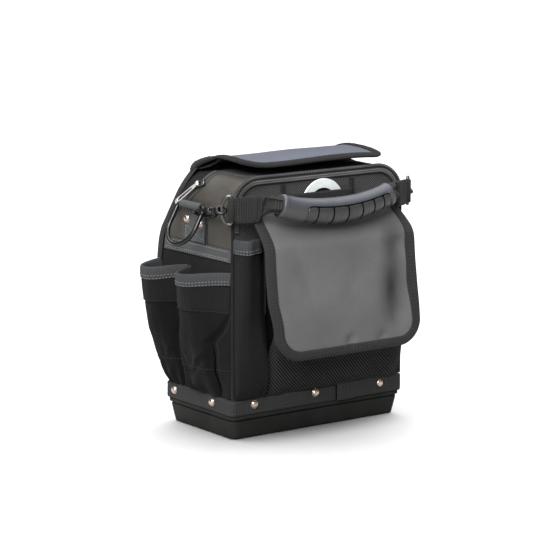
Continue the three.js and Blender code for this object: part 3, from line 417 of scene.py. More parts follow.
def stitch_arrays(path, nrm, long=3.4, gap=1.3, wide=0.9, high=0.45, lift=0.05):
    """A row of thread stitches along a path on a face with normals nrm."""
    P, Nn = np.asarray(path, float), normalise(np.asarray(nrm, float))
    s = np.concatenate([[0], np.cumsum(np.linalg.norm(np.diff(P, axis=0), axis=1))])
    count = int(s[-1] // (long + gap))
    parts = []
    prof = [(0.0, 0.25, 0.0), (0.18, 0.85, 0.8), (0.5, 1.0, 1.0), (0.82, 0.85, 0.8), (1.0, 0.25, 0.0)]
    V, F, k = [], [], 0
    lead = (s[-1] - count * (long + gap) + gap) / 2
    for c in range(count):
        s0 = lead + c * (long + gap)
        rows = []
        for f, w, h in prof:
            q = s0 + f * long
            p = np.array([np.interp(q, s, P[:, i]) for i in range(3)])
            n = np.array([np.interp(q, s, Nn[:, i]) for i in range(3)])
            t = np.array([np.interp(min(q + 0.5, s[-1]), s, P[:, i]) - np.interp(max(q - 0.5, 0), s, P[:, i]) for i in range(3)])
            n /= np.linalg.norm(n)
            side = np.cross(t, n)
            side /= max(np.linalg.norm(side), 1e-9)
            lo, hi = -0.25, high * h + lift
            rows.append([p - side * wide / 2 * w + n * lo, p - side * wide / 2.6 * w + n * (hi * 0.7), p + n * hi,
                         p + side * wide / 2.6 * w + n * (hi * 0.7), p + side * wide / 2 * w + n * lo])
        R = np.array(rows)
        V.append(R.reshape(-1, 3))
        m, n_ = 5, 5
        for r in range(m - 1):
            for i in range(n_):
                j = (i + 1) % n_
                F.append((k + r * n_ + i, k + r * n_ + j, k + (r + 1) * n_ + j, k + (r + 1) * n_ + i))
        F.append(tuple(k + i for i in range(n_ - 1, -1, -1)))
        F.append(tuple(k + (m - 1) * n_ + i for i in range(n_)))
        k += 25
    if not V:
        return np.zeros((0, 3)), [], np.zeros((0, 2))
    V = np.concatenate(V)
    return V, F, np.zeros((len(V), 2))

# -------------------------------------------------------------------- materials


class Look:
    """A procedural material: a shader with detail fed from its own nodes."""

    def __init__(self, name, rough=0.6, metal=0.0, spec=0.5):
        self.mat = bpy.data.materials.new(name)
        self.mat.use_nodes = True
        self.nt = self.mat.node_tree
        self.b = self.nt.nodes["Principled BSDF"]
        self.put("Roughness", rough)
        self.put("Metallic", metal)
        self.put("Specular IOR Level", spec)
        self.tex = self.nt.nodes.new("ShaderNodeTexCoord")
        self.normal = None

    def put(self, socket, value):
        self.b.inputs[socket].default_value = value

    def join(self, out, socket):
        self.nt.links.new(out, socket)

    def m(self, op, a, b=None, clamp=False):
        n = self.nt.nodes.new("ShaderNodeMath")
        n.operation, n.use_clamp = op, clamp
        for i, v in enumerate((a, b)):
            if v is None:
                continue
            if isinstance(v, (int, float)):
                n.inputs[i].default_value = v
            else:
                self.join(v, n.inputs[i])
        return n.outputs[0]

    def uv(self):
        n = self.nt.nodes.new("ShaderNodeSeparateXYZ")
        self.join(self.tex.outputs["UV"], n.inputs[0])
        return n.outputs[0], n.outputs[1]

    def grain(self, size, detail=3.0, rough=0.55, stretch=None):
        """Noise whose grains are about size millimetres."""
        n = self.nt.nodes.new("ShaderNodeTexNoise")
        n.inputs["Scale"].default_value = 1000.0 / size
        n.inputs["Detail"].default_value = detail
        n.inputs["Roughness"].default_value = rough
        src = self.tex.outputs["Object"]
        if stretch:
            mp = self.nt.nodes.new("ShaderNodeMapping")
            mp.inputs["Scale"].default_value = stretch
            self.join(src, mp.inputs["Vector"])
            src = mp.outputs[0]
        self.join(src, n.inputs["Vector"])
        return n.outputs["Fac"]

    def spot(self, middle, radii):
        """Soft round place: 1 in the middle, 0 at its radii."""
        mp, g = self.nt.nodes.new("ShaderNodeMapping"), self.nt.nodes.new("ShaderNodeTexGradient")
        mp.inputs["Scale"].default_value = [1000.0 / r for r in radii]
        mp.inputs["Location"].default_value = [-m / r for m, r in zip(middle, radii)]
        g.gradient_type = "SPHERICAL"
        self.join(self.tex.outputs["Object"], mp.inputs["Vector"])
        self.join(mp.outputs[0], g.inputs["Vector"])
        return g.outputs["Fac"]

    def pebble(self, size):
        n = self.nt.nodes.new("ShaderNodeTexVoronoi")
        n.inputs["Scale"].default_value = 1000.0 / size
        self.join(self.tex.outputs["Object"], n.inputs["Vector"])
        return n.outputs["Distance"]

    def weave(self, pu, pv, kind="plain"):
        """Crossing threads pu and pv millimetres apart; 0 low to 1 high."""
        u, v = self.uv()
        u, v = self.m("MULTIPLY", u, 1000.0 / pu), self.m("MULTIPLY", v, 1000.0 / pv)
        warp = self.m("SINE", self.m("MULTIPLY", self.m("FRACT", u), PI))
        weft = self.m("SINE", self.m("MULTIPLY", self.m("FRACT", v), PI))
        cell = self.m("ADD", self.m("FLOOR", u), self.m("FLOOR", v))
        if kind == "twill":
            over = self.m("LESS_THAN", self.m("FLOORED_MODULO", cell, 4.0), 1.5)
        elif kind == "basket":
            half = self.m("ADD", self.m("FLOOR", self.m("MULTIPLY", u, 0.5)), self.m("FLOOR", self.m("MULTIPLY", v, 0.5)))
            over = self.m("LESS_THAN", self.m("FLOORED_MODULO", half, 2.0), 0.5)
        else:
            over = self.m("LESS_THAN", self.m("FLOORED_MODULO", cell, 2.0), 0.5)
        a = self.m("MULTIPLY", warp, self.m("ADD", self.m("MULTIPLY", weft, 0.3), 0.7))
        b = self.m("MULTIPLY", weft, self.m("ADD", self.m("MULTIPLY", warp, 0.25), 0.12))
        return self.m("ADD", self.m("MULTIPLY", a, over), self.m("MULTIPLY", b, self.m("SUBTRACT", 1.0, over)))

    def ribs(self, pitch, across="v", cross=2.4):
        """Ribbed webbing: cords pitch apart, nipped by a crossing thread."""
        u, v = self.uv()
        if across == "u":
            u, v = v, u
        cord = self.m("SINE", self.m("MULTIPLY", self.m("FRACT", self.m("MULTIPLY", v, 1000.0 / pitch)), PI))
        row = self.m("FLOOR", self.m("MULTIPLY", v, 1000.0 / pitch))
        run = self.m("ADD", self.m("MULTIPLY", u, 1000.0 / cross), self.m("MULTIPLY", row, 0.5))
        nip = self.m("SINE", self.m("MULTIPLY", self.m("FRACT", run), PI))
        return self.m("MULTIPLY", cord, self.m("ADD", self.m("MULTIPLY", nip, 0.45), 0.55))

    def tone(self, fac, dark, light, lo=0.0, hi=1.0):
        r = self.nt.nodes.new("ShaderNodeValToRGB")
        r.color_ramp.elements[0].position, r.color_ramp.elements[1].position = lo, hi
        r.color_ramp.elements[0].color = (*dark, 1)
        r.color_ramp.elements[1].color = (*light, 1)
        self.join(fac, r.inputs[0])
        self.join(r.outputs[0], self.b.inputs["Base Color"])

    def relief(self, height, mm, strength=1.0):
        n = self.nt.nodes.new("ShaderNodeBump")
        n.inputs["Strength"].default_value = strength
        n.inputs["Distance"].default_value = mm * MM
        self.join(height, n.inputs["Height"])
        if self.normal is not None:
            self.join(self.normal, n.inputs["Normal"])
        self.normal = n.outputs[0]
        self.join(self.normal, self.b.inputs["Normal"])

    def shine(self, fac, lo, hi):
        n = self.nt.nodes.new("ShaderNodeMapRange")
        n.inputs["To Min"].default_value = lo
        n.inputs["To Max"].default_value = hi
        self.join(fac, n.inputs["Value"])
        self.join(n.outputs[0], self.b.inputs["Roughness"])


def grey(v, tint=(1, 1, 1)):
    return tuple(0.45 * v * t for t in tint)


def cloth_look(name, dark, light, pu, pv, kind, relief=0.25, rough=0.8, sheen=0.02, spec=0.1, fuzz=0.3):
    k = Look(name, rough, spec=spec)
    h = k.weave(pu, pv, kind)
    fine, broad = k.grain(1.6, 2), k.grain(38, 2)
    mix = k.m("ADD", k.m("MULTIPLY", h, 1 - fuzz), k.m("MULTIPLY", k.m("ADD", fine, broad), fuzz / 2))
    k.tone(mix, dark, light, 0.37, 0.8)
    k.relief(k.grain(22, 3), 0.7, 0.5)
    k.relief(h, relief * 1.3, 0.8)
    k.shine(fine, rough - 0.08, rough + 0.08)
    k.put("Sheen Weight", sheen)
    k.put("Sheen Roughness", 0.4)
    return k.mat


def web_look(name, dark, light, pitch, across="v", relief=0.3, rough=0.75, sheen=0.02, cross=2.4, spec=0.12):
    k = Look(name, rough, spec=spec)
    h = k.ribs(pitch, across, cross)
    fine = k.grain(1.2, 2)
    k.tone(k.m("ADD", k.m("MULTIPLY", h, 0.7), k.m("MULTIPLY", fine, 0.3)), dark, light, 0.1, 0.9)
    k.relief(k.grain(9, 2), 0.35, 0.5)
    k.relief(h, relief, 0.9)
    k.shine(fine, rough - 0.1, rough + 0.06)
    k.put("Sheen Weight", sheen)
    return k.mat


def coated_look(name, dark, light, rough=0.5, pebble=0.9, spec=0.2, painted_shade=()):
    """Smooth coated cloth; each painted shade place is (middle, radii, how much), in millimetres: a soft darker patch
    painted into the colour where a dent falls in shade.
    """
    k = Look(name, rough, spec=spec)
    p, fine, broad = k.pebble(pebble), k.grain(2.2, 3), k.grain(46, 3)
    mix = k.m("ADD", k.m("MULTIPLY", broad, 0.55), k.m("MULTIPLY", fine, 0.45))
    if painted_shade:
        mix = k.m("ADD", k.m("MULTIPLY", mix, 0.4), 0.3)
    # painted shade: darken the tone inside each soft round place
    for middle, radii, much in painted_shade:
        mix = k.m("SUBTRACT", mix, k.m("MULTIPLY", k.spot(middle, radii), much))
    k.tone(mix, dark, light, -0.55 if painted_shade else 0.25, 0.75)
    k.relief(k.grain(26, 3), 0.9, 0.45)
    k.relief(p, 0.12, 0.5)
    k.shine(fine, rough - 0.1, rough + 0.12)
    return k.mat


def metal_look(name, dark, light, rough, brush=None, metal=1.0, coat=0.0):
    k = Look(name, rough, metal)
    g = k.grain(3.0, 4, stretch=brush) if brush else k.grain(4.0, 4)
    k.tone(k.m("ADD", k.m("MULTIPLY", g, 0.6), k.m("MULTIPLY", k.grain(14, 2), 0.4)), dark, light, 0.3, 0.7)
    k.relief(g, 0.04, 0.35)
    k.shine(k.grain(2.0, 3), rough * 0.75, rough * 1.35)
    k.put("Coat Weight", coat)
    return k.mat


def plastic_look(name, dark, light, rough, grain=0.55, relief=0.07, spec=0.3):
    k = Look(name, rough, spec=spec)
    g = k.grain(grain, 2)
    k.tone(k.m("ADD", k.m("MULTIPLY", g, 0.4), k.m("MULTIPLY", k.grain(30, 3), 0.6)), dark, light, 0.3, 0.72)
    k.relief(g, relief, 0.7)
    k.shine(k.grain(8, 3), rough - 0.1, rough + 0.1)
    return k.mat


M = {}
M["base"] = plastic_look("moulded base", grey(0.0135, (1.03, 1, 0.95)), grey(0.031, (1.03, 1, 0.95)), 0.55, 0.55, 0.07, 0.08)
M["twill"] = cloth_look("black twill", grey(0.0004), grey(0.1, (1, 1, 0.96)), 1.15, 1.15, "twill", 0.5)
M["pocket"] = cloth_look("black pocket cloth", grey(0.0001), grey(0.042, (1, 1, 1.02)), 0.95, 0.95, "basket", 0.4)
M["side"] = cloth_look("black side pocket cloth", grey(0.0001), grey(0.032, (1, 1, 1.03)), 0.95, 0.95, "basket", 0.45, spec=0.06)
M["panel"] = cloth_look("black wall cloth", grey(0.0003), grey(0.045), 0.95, 0.95, "basket", 0.4)
M["front"] = cloth_look("charcoal front cloth", grey(0.045), grey(0.27, (1, 1, 0.99)), 0.95, 0.95, "basket", 0.45)
# very dark cloth for the painted shade pieces: tubes, sheets and skirts laid where shade falls
M["lining"] = cloth_look("dark lining", grey(0.0008), grey(0.006), 0.9, 0.9, "plain", 0.15, spec=0.03, sheen=0.0)
M["elastic"] = web_look("gathered elastic", grey(0.0003), grey(0.022), 2.4, "u", 0.6, spec=0.06)
M["web"] = web_look("black webbing", grey(0.0015), grey(0.06, (1, 1, 0.99)), 2.3, "u", 0.45)
M["web_across"] = web_look("black webbing, cross ribs", grey(0.001), grey(0.042, (1, 1, 0.96)), 2.2, "v", 0.5)
M["hem"] = web_look("grey hem webbing", grey(0.018, (0.94, 1, 1.03)), grey(0.088, (0.94, 1, 1.04)), 2.0, "u", 0.35)
M["strip"] = web_look("grey strip webbing", grey(0.04, (0.95, 1, 1.04)), grey(0.128, (0.95, 1, 1.05)), 2.0, "u", 0.3)
M["tab"] = web_look("grey tab webbing", grey(0.035), grey(0.14, (0.93, 1, 1.01)), 2.0, "u", 0.4)
M["binding"] = web_look("charcoal binding", grey(0.0005), grey(0.062), 2.2, "u", 0.7, cross=3.0)
M["binding_top"] = web_look("dark top binding", grey(0.0003), grey(0.034), 2.2, "u", 0.8, cross=3.0, spec=0.06)
M["cord"] = web_look("dark edge cord", grey(0.0005), grey(0.022), 2.2, "v", 0.3)
M["edging"] = web_look("grey green edging", grey(0.03, (0.93, 1, 0.97)), grey(0.085, (0.93, 1.02, 0.98)), 1.8, "u", 0.3)
# the front flap's two places are painted shade, darker patches in the coating over its dents
M["flap"] = coated_look("grey coated cloth", grey(0.008), grey(0.207), 0.5, painted_shade=(((86, -108, 178), (42, 60, 54), 0.32), ((92, -108, 236), (28, 60, 32), 0.24)))
# top flap: grey coated cloth, its blue tint a painted reflection of the sky
M["top"] = coated_look("grey coated cloth, blue painted sky reflection", grey(0.106, (0.92, 1, 1.32)), grey(0.136, (0.92, 1, 1.32)), 0.58)
M["taupe"] = coated_look("taupe cloth", grey(0.04, (1.09, 1, 0.86)), grey(0.094, (1.09, 1, 0.86)), 0.55, 1.2)
M["rivet"] = metal_look("copper nickel", (0.36, 0.28, 0.235), (0.58, 0.47, 0.405), 0.26)
M["black_metal"] = metal_look("black hardware", grey(0.035), grey(0.09), 0.32, metal=0.95, coat=0.06)
M["gunmetal"] = metal_look("gunmetal", grey(0.08), grey(0.2), 0.28, metal=0.8, coat=0.3)
M["silver"] = metal_look("bright zip metal", (0.6, 0.56, 0.55), (0.86, 0.83, 0.82), 0.4, (1, 1, 6), 0.8)
M["coil"] = plastic_look("zip coil", grey(0.09), grey(0.2), 0.4, 1.0, 0.03)
M["zip_tape"] = web_look("zip tape", grey(0.004), grey(0.06), 1.6, "v", 0.2)
M["grip"] = plastic_look("blue grey rubber", grey(0.05, (0.92, 1, 1.26)), grey(0.083, (0.92, 1, 1.26)), 0.46, 0.8, 0.06, 0.45)
# darker copies of the grip's rubber for its front and underside are painted shade; the panel copy also keeps the inset
# panel's own browner tone
M["grip_side"] = plastic_look("grip rubber, darker underside copy as painted shade", grey(0.042, (0.99, 1, 1.04)), grey(0.07, (0.99, 1, 1.04)), 0.44, 0.8, 0.06, 0.45)
M["grip_panel"] = plastic_look("grip panel rubber, darkened as painted shade", grey(0.02, (1.02, 1, 0.98)), grey(0.04, (1.02, 1, 0.98)), 0.4, 0.8, 0.06, 0.45)
M["ring"] = metal_look("pale ring", (0.52, 0.56, 0.56), (0.68, 0.72, 0.71), 0.4, (1, 1, 1), 0.35)
M["thread_black"] = plastic_look("black thread", grey(0.004), grey(0.01), 0.6, 0.4, 0.05)
M["thread_grey"] = plastic_look("grey thread", grey(0.19), grey(0.3), 0.7, 0.4, 0.05)
M["thread_dark"] = plastic_look("charcoal thread", grey(0.03), grey(0.065), 0.7, 0.4, 0.05)

# ---------------------------------------------------------------- camera, light
scene = bpy.context.scene
scene.view_settings.view_transform = "Standard"
cam = bpy.data.objects.new("camera", bpy.data.cameras.new("camera"))
cam.data.lens, cam.data.sensor_width, cam.data.clip_end = 164.9, 36.0, 100
cam.location = (-1.9054, -2.6229, 0.7866)
cam.rotation_euler = (math.radians(79.4), 0, math.radians(-35.9))
scene.collection.objects.link(cam)
scene.camera = cam

world = bpy.data.worlds.new("studio")
world.use_nodes = True
world.node_tree.nodes["Background"].inputs[0].default_value = (1, 1, 1, 1)
world.node_tree.nodes["Background"].inputs[1].default_value = 0.1
scene.world = world


def lamp(name, at, aim, size, watts, colour=(1, 1, 1)):
    d = bpy.data.lights.new(name, "AREA")
    d.shape, d.size, d.energy, d.color = "SQUARE", size, watts, colour
    o = bpy.data.objects.new(name, d)
    o.location = at
    o.rotation_euler = (Vector(aim) - Vector(at)).to_track_quat("-Z", "Y").to_euler()
    scene.collection.objects.link(o)


sun = bpy.data.objects.new("sky_panel", bpy.data.lights.new("sky_panel", "SUN"))
sun.data.energy, sun.data.angle = 5.2, math.radians(86)
sun.rotation_euler = Vector((-0.12, -0.22, -1.0)).to_track_quat("-Z", "Y").to_euler()
scene.collection.objects.link(sun)
key = bpy.data.objects.new("key_panel", bpy.data.lights.new("key_panel", "SUN"))
key.data.energy, key.data.angle = 8.0, math.radians(40)
key.rotation_euler = Vector((0.7, 0.52, -0.75)).to_track_quat("-Z", "Y").to_euler()
scene.collection.objects.link(key)
lamp("left_front", (-2.0, -1.7, 1.3), (0, 0, 0.2), 0.8, 7.5)
lamp("right_front", (1.5, -2.2, 1.1), (0, 0, 0.2), 0.7, 4.5)

fl = bpy.data.meshes.new("floor")
fl.from_pydata([(-16, -16, 0), (16, -16, 0), (16, 16, 0), (-16, 16, 0)], [], [(0, 1, 2, 3)])
floor = bpy.data.objects.new("floor", fl)
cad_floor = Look("pale floor", 0.7, spec=0.2)
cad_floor.tone(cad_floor.grain(220, 2), (0.83, 0.83, 0.83), (0.87, 0.87, 0.87), 0.3, 0.7)
fl.materials.append(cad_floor.mat)
scene.collection.objects.link(floor)
# the key panel is flagged off the floor, so the bag throws only a soft contact shadow
flag = bpy.data.collections.new("flagged_floor")
flag.objects.link(floor)
flag.collection_objects[0].light_linking.link_state = "EXCLUDE"
key.light_linking.receiver_collection = flag

# ---------------------------------------------------------------- base and band


def round_rect(hx, hy, r, n_arc=10, n_long=1, n_short=1):
    """Closed outline of a rounded rectangle, anticlockwise from the right side."""
    pts = []
    for (sx, sy, start), runs in zip([(1, 1, 0), (-1, 1, 1), (-1, -1, 2), (1, -1, 3)], [n_long, n_short, n_long, n_short]):
        arc = [(sx * (hx - r) + r * math.cos(a), sy * (hy - r) + r * math.sin(a))
               for a in (start * PI / 2 + np.linspace(0, PI / 2, n_arc + 1))]
        pts += arc
        nx = {0: (-(hx - r), hy), 1: (-hx, -(hy - r)), 2: (hx - r, -hy), 3: (hx, hy - r)}[start]
        for k in range(1, runs):
            f = k / runs
            pts.append((arc[-1][0] + (nx[0] - arc[-1][0]) * f, arc[-1][1] + (nx[1] - arc[-1][1]) * f))
    return np.array(pts)


BASE_ROWS = [(121, 60.5, 4, 0), (125, 64.5, 5, 0), (126.4, 65.9, 6, 0.4), (127.5, 67, 7, 1.5), (128, 67.5, 8, 3),
             (129.3, 68.9, 8, 10), (130.4, 70.2, 8, 17), (131.2, 71.2, 8, 22.4), (131.3, 71.3, 8, 23.2), (130.9, 70.9, 7.6, 23.9),
             (130.1, 70.1, 7, 24.3), (129.9, 69.9, 7, 24.8), (130.3, 70.3, 7, 25.4), (131.8, 72, 7.6, 25.9), (132.7, 73.1, 8, 26.3), (133, 73.5, 8, 27),
             (133, 73.5, 8, 29.9), (132.7, 73.2, 8, 30.7), (132, 72.5, 7, 31), (129, 69.5, 5, 31), (124.5, 64, 5, 5)]
rings = [np.column_stack([round_rect(hx, hy, r), np.full(len(round_rect(hx, hy, r)), z)]) for hx, hy, r, z in BASE_ROWS]
v, f, uv = loft_arrays(rings)
ob = mesh_object("base", v, f, M["base"], uv, smooth_angle=50, slot="base_plastic")
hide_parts("base_tub")

LAP_X = 29.0


def band_point(outline, off, z, lift):
    """Band's rings, with the overlapped end standing out and a little higher on the front."""
    P = np.column_stack([outline, np.full(len(outline), z)])
    n = np.column_stack([outline / np.array([BAND_HX, BAND_HY]), np.zeros(len(outline))])
    n = np.where(np.abs(n).max(1, keepdims=True) * 0.985 < np.abs(n), np.sign(n), 0)
    n = normalise(n + 1e-9)
    front = (outline[:, 1] < -BAND_HY + 2)
    lap = np.where(front, step(LAP_X - 0.4, LAP_X + 0.4, outline[:, 0]) * (1 - 0.6 * step(60, 118, outline[:, 0])), 0)
    wave = wobble(P * np.array([1, 1, 0.4]), 23, 3) * 0.55 + wobble(P, 7, 4) * 0.18
    P = P + n * (off + wave + 1.5 * lap)[:, None]
    P[:, 2] += lift * (3.0 * lap + 0.7 * wobble(P * np.array([1, 1, 0]), 30, 5))
    return P


outer = round_rect(BAND_HX, BAND_HY, 5, 8, 200, 60)
inner = round_rect(BAND_HX - TAPE, BAND_HY - TAPE, 3.5, 8, 200, 60)
rows = [band_point(outer, o, z, l) for o, z, l in [(-0.5, 31.5, 0), (0, 32.2, 0), (0.25, 36, 0.1), (0.35, 42, 0.4), (0.2, 47, 0.8), (0, 51.2, 1), (-0.5, 52, 1)]]
rows += [band_point(inner, o, z, l) for o, z, l in [(0, 52, 1), (0, 42, 0.4), (0, 31.5, 0)]]
v, f, uv = loft_arrays(rows, closed=True)
band = mesh_object("bottom_band", v, f, M["web"], uv, slot="webbing_black")
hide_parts("bottom_webbing")

thread = {"thread_black": [], "thread_grey": [], "thread_dark": []}
for z, lf in ((34.6, 0), (49.2, 0.9)):
    p = band_point(outer, 0.32, z, lf)
    n = normalise(np.column_stack([outer / np.array([BAND_HX, BAND_HY]), np.zeros(len(outer))]) ** 9 + 1e-9)
    thread["thread_dark"].append(stitch_arrays(np.vstack([p, p[:1]]), np.vstack([n, n[:1]]), 3.2, 1.4))

LX, LV = np.meshgrid(np.linspace(LAP_X - 1, 66, 40), np.linspace(0, 1, 16))
LZ = 31.8 + LV * (20.6 + 3.2 * step(62, LAP_X + 4, LX) + 0.5 * np.sin(LX / 6))
LP = np.stack([LX, -BAND_HY - 2.9 + 2.2 * step(48, 66, LX) + 0.35 * np.sin(LX / 5 + LZ / 9), LZ], -1)
# the seam at the band lap's edge, made very dark also as painted shade of the lap's step
v, f, uv = loft_arrays(tube_rings(np.column_stack([np.full(24, LAP_X - 1.7), np.full(24, -BAND_HY - 1.7), np.linspace(32.5, 54.5, 24)]), 0.9, 8, up=(0, 1, 0)))
mesh_object("bottom_band_lap_seam_shade", v, f, M["lining"], uv)
shell("bottom_band_lap", LP, 1.3, M["web"], sign=1 if grid_normals(LP)[8, 20, 1] < 0 else -1, slot="webbing_black")
p = np.column_stack([np.full(24, LAP_X + 4.0), np.full(24, -BAND_HY - 3.0), np.linspace(34, 52, 24)])
thread["thread_dark"].append(stitch_arrays(p, np.tile([0.0, -1, 0], (24, 1)), 2.8, 1.4))

DOME = [(0.05, 0), (5.3, 0), (5.5, 0.2), (5.3, 0.45), (4.9, 0.55), (4.8, 0.9), (4.45, 1.6), (3.8, 2.2), (2.8, 2.65), (1.5, 2.92), (0.05, 3.0)]
RIVETS = {"rivet_front_left": ((-100, -74.8, 44), (0, -1, 0)), "rivet_front_middle": ((-5, -74.8, 46), (0, -1, 0)),
          "rivet_front_right": ((98, -74.8, 45), (0, -1, 0)), "rivet_back_left": ((-98, 74.8, 43), (0, 1, 0)),
          "rivet_back_middle": ((0, 74.8, 43), (0, 1, 0)), "rivet_back_right": ((98, 74.8, 43), (0, 1, 0)),
          "rivet_left_rear": ((-134.3, 55, 43), (-1, 0, 0)), "rivet_left_front": ((-134.3, -30, 43), (-1, 0, 0)),
          "rivet_right_rear": ((134.3, 55, 43), (1, 0, 0)), "rivet_right_front": ((134.3, -30, 43), (1, 0, 0))}
TAB_X = BODY_HALF + float(end_bulge(270, 26)) + 2 * GAP + CLOTH
for side, sg in (("left", -1), ("right", 1)):
    RIVETS["tab_rivet_rear_" + side] = ((sg * TAB_X, 22, 270), (sg, 0, 0))
    RIVETS["tab_rivet_front_" + side] = ((sg * TAB_X, -8, 267), (sg, 0, 0))
for name, (at, d) in RIVETS.items():
    v, f, uv = lathe_arrays(DOME, at, d)
    ob = mesh_object(name + "_dome", v, f, M["rivet"], uv, smooth_angle=50, slot="rivet_metal")
    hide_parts(name)

# ------------------------------------------------------------------- body walls


def front_half(z):
    k = np.clip(np.asarray(z, float) - CZ, 0, ARCH_R)
    return BODY_HALF - ARCH_R + np.sqrt(np.maximum(ARCH_R**2 - k * k, 0))


def front_fn(U, V):
    z = FOOT + (ARCH_TOP - FOOT) * (1 - (1 - V) ** 1.7)
    x = (2 * U - 1) * front_half(z)
    P = np.stack([x, np.full_like(x, FRONT_Y), z], -1)
    edge = 1 - np.abs(2 * U - 1) ** 6
    P[..., 1] -= edge * (0.5 * wobble(P, 34, 11) + 0.25 * wobble(P, 12, 12))
    return P


P = grid(front_fn, 90, 90)
ob = shell("front_wall", P, CLOTH, M["front"], slot="body_fabric")
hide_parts("front_panel")
declare(P)


def arch_path(z0, inset, n_side, n_arc, n_top):
    """Points (x, z) along the front arch from height z0 on the left to z0 on the right."""
    h, r = BODY_HALF - inset, ARCH_R - inset
    pts = [(-h, z) for z in np.linspace(z0, CZ, n_side, endpoint=False)]
    pts += [(-CX - r * math.cos(a), CZ + r * math.sin(a)) for a in np.linspace(0, PI / 2, n_arc, endpoint=False)]
    top = [(x, CZ + r) for x in np.linspace(-CX, CX, n_top + 1)]
    right = [(-x, z) for x, z in pts[::-1]]
    return np.array(pts + top + right)


def on_front(xz, y):
    return np.column_stack([xz[:, 0], np.full(len(xz), y), xz[:, 1]])


ZIP_N = (14, 26, 70)
P = np.array([on_front(arch_path(262, i, *ZIP_N), y) for i, y in [(1, -73.0), (2, -73.7), (4.4, -74.0), (5.5, -73.9), (6.6, -74.0), (9, -73.7), (10, -73.0)]])
ob = shell("front_zip_tape", P, 0.9, M["zip_tape"], sign=1 if grid_normals(P)[3, 5, 1] < 0 else -1)
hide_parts("front_zip")
coil = []
front_n = lambda p: np.tile([0.0, -1, 0], (len(p), 1))
for inset in (4.4, 6.8):
    p = on_front(arch_path(262, inset, 40, 60, 190), -74.0)
    coil.append(stitch_arrays(p, front_n(p), 1.5, 0.9, 2.6, 1.7))
mesh_object("front_zip_coil", *join_arrays(coil)[:2], M["coil"], slot="webbing_black")
for inset in (2.4, 8.7):
    p = on_front(arch_path(262, inset, 20, 30, 90), -73.75)
    thread["thread_dark"].append(stitch_arrays(p, front_n(p), 2.6, 1.2, 0.7, 0.3))
# corded edge between front wall and ends, over the arch
cord = on_front(arch_path(54.5, -0.6, 60, 26, 60), -72.6)
cord[:, 1] += 0.25 * wobble(cord, 20, 13)
up = cord[:, 2] > CZ - 8
for part, p, mat in (("left", cord[~up & (cord[:, 0] < 0)], M["cord"]), ("arch", cord[up], M["binding"]), ("right", cord[~up & (cord[:, 0] > 0)], M["cord"])):
    v, f, uv = loft_arrays(tube_rings(p, 2.3 if part == "arch" else 1.9, 10, up=(0, 1, 0)))
    mesh_object(f"front_edge_cord_{part}", v, f, mat, uv)
ribs = on_front(arch_path(CZ - 8, -0.9, 10, 60, 190), -74.0)
v, f, uv = stitch_arrays(ribs, front_n(ribs), 1.4, 1.0, 3.4, 1.3)
mesh_object("front_edge_ribs", v, f, M["coil"], slot="webbing_black")


def rear_edge(z):
    return back_y(z) - CLOTH - GAP


def end_fn(s0, s1, front, rear, off=0.0, puff=0.0, seed=20):
    """Cloth on the left end between runs s0, s1; front and rear give y at a run."""
    def fn(U, V):
        s = s0 + (s1 - s0) * V
        y0, y1 = front(s), rear(s)
        y = y0 + (y1 - y0) * U
        P = arch(s, y, off)
        if puff:
            w = np.sin(PI * U) ** 0.4 * np.sin(PI * V) ** 0.4
            P = arch(s, y, off + w * puff * (0.45 + 0.8 * wobble(P, 36, seed) + 0.3 * wobble(P, 11, seed + 1)))
        return P
    return fn


def run_z(s):
    return FOOT + np.clip(s, None, L1) + ARCH_R * np.sin(np.clip((s - L1) / ARCH_R, 0, PI / 2))


def both_ends(name, P, t, mat, sign, nodes, slot=None, held=None):
    """The same cloth on both ends; the right one is the left one's mirror image."""
    out = []
    for side in ("left", "right"):
        Q = P if side == "left" else mirror(P)
        ob = shell(f"{name}_{side}", Q, t, mat, sign=sign if side == "left" else -sign, slot=slot)
        if nodes:
            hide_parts(f"{nodes}_{side}")
        if held:
            declare(Q)
        out.append(ob)
    return out


flat_front = lambda s: np.full_like(s, WRAP_FRONT)
s_strip0, s_strip1 = float(arch_run(226)), float(arch_run(241.6))
P = grid(end_fn(0, float(arch_run(241.6)), flat_front, lambda s: rear_edge(run_z(s)), puff=1.2), 44, 70)
both_ends("end_wall", P, CLOTH, M["panel"], -1, "end_panel", "body_fabric", "stretched")

P = grid(end_fn(s_strip0, s_strip1, lambda s: flat_front(s) + 0.5, lambda s: rear_edge(run_z(s)) - 9, GAP + TAPE, 0.35, 24), 60, 8)
both_ends("end_strip_tape", P, TAPE, M["strip"], -1, "end_strip", "webbing_grey")
for s_row in (s_strip0 + 2.0, s_strip0 + 4.2, s_strip1 - 2.2):
    y = np.linspace(WRAP_FRONT + 3, rear_edge(232) - 11, 80)
    p = arch(np.full_like(y, s_row), y, GAP + TAPE + 0.35)
    n = np.tile([-1.0, 0, 0], (len(y), 1))
    thread["thread_grey"].append(stitch_arrays(p, n, 3.0, 1.7, 1.0, 0.5))
    thread["thread_grey"].append(stitch_arrays(mirror(p), -n, 3.0, 1.7, 1.0, 0.5))


def taupe_rear(s):
    z = run_z(s)
    return np.minimum(smooth(TAUPE_EDGE["z"], TAUPE_EDGE["y"], z), rear_edge(z) - 1)


S80 = L1 + ARCH_R * math.radians(80)
P = grid(end_fn(float(arch_run(242)), S80, flat_front, taupe_rear, puff=1.6, seed=27), 48, 60)
both_ends("end_upper", P, CLOTH, M["taupe"], -1, "end_gusset", "end_taupe", "stretched")
P = grid(end_fn(float(arch_run(254)), S80, lambda s: taupe_rear(s) + GAP, lambda s: rear_edge(run_z(s)), puff=1.0, seed=30), 30, 50)
both_ends("end_rear", P, CLOTH, M["panel"], -1, "rear_gusset", "body_fabric", "stretched")

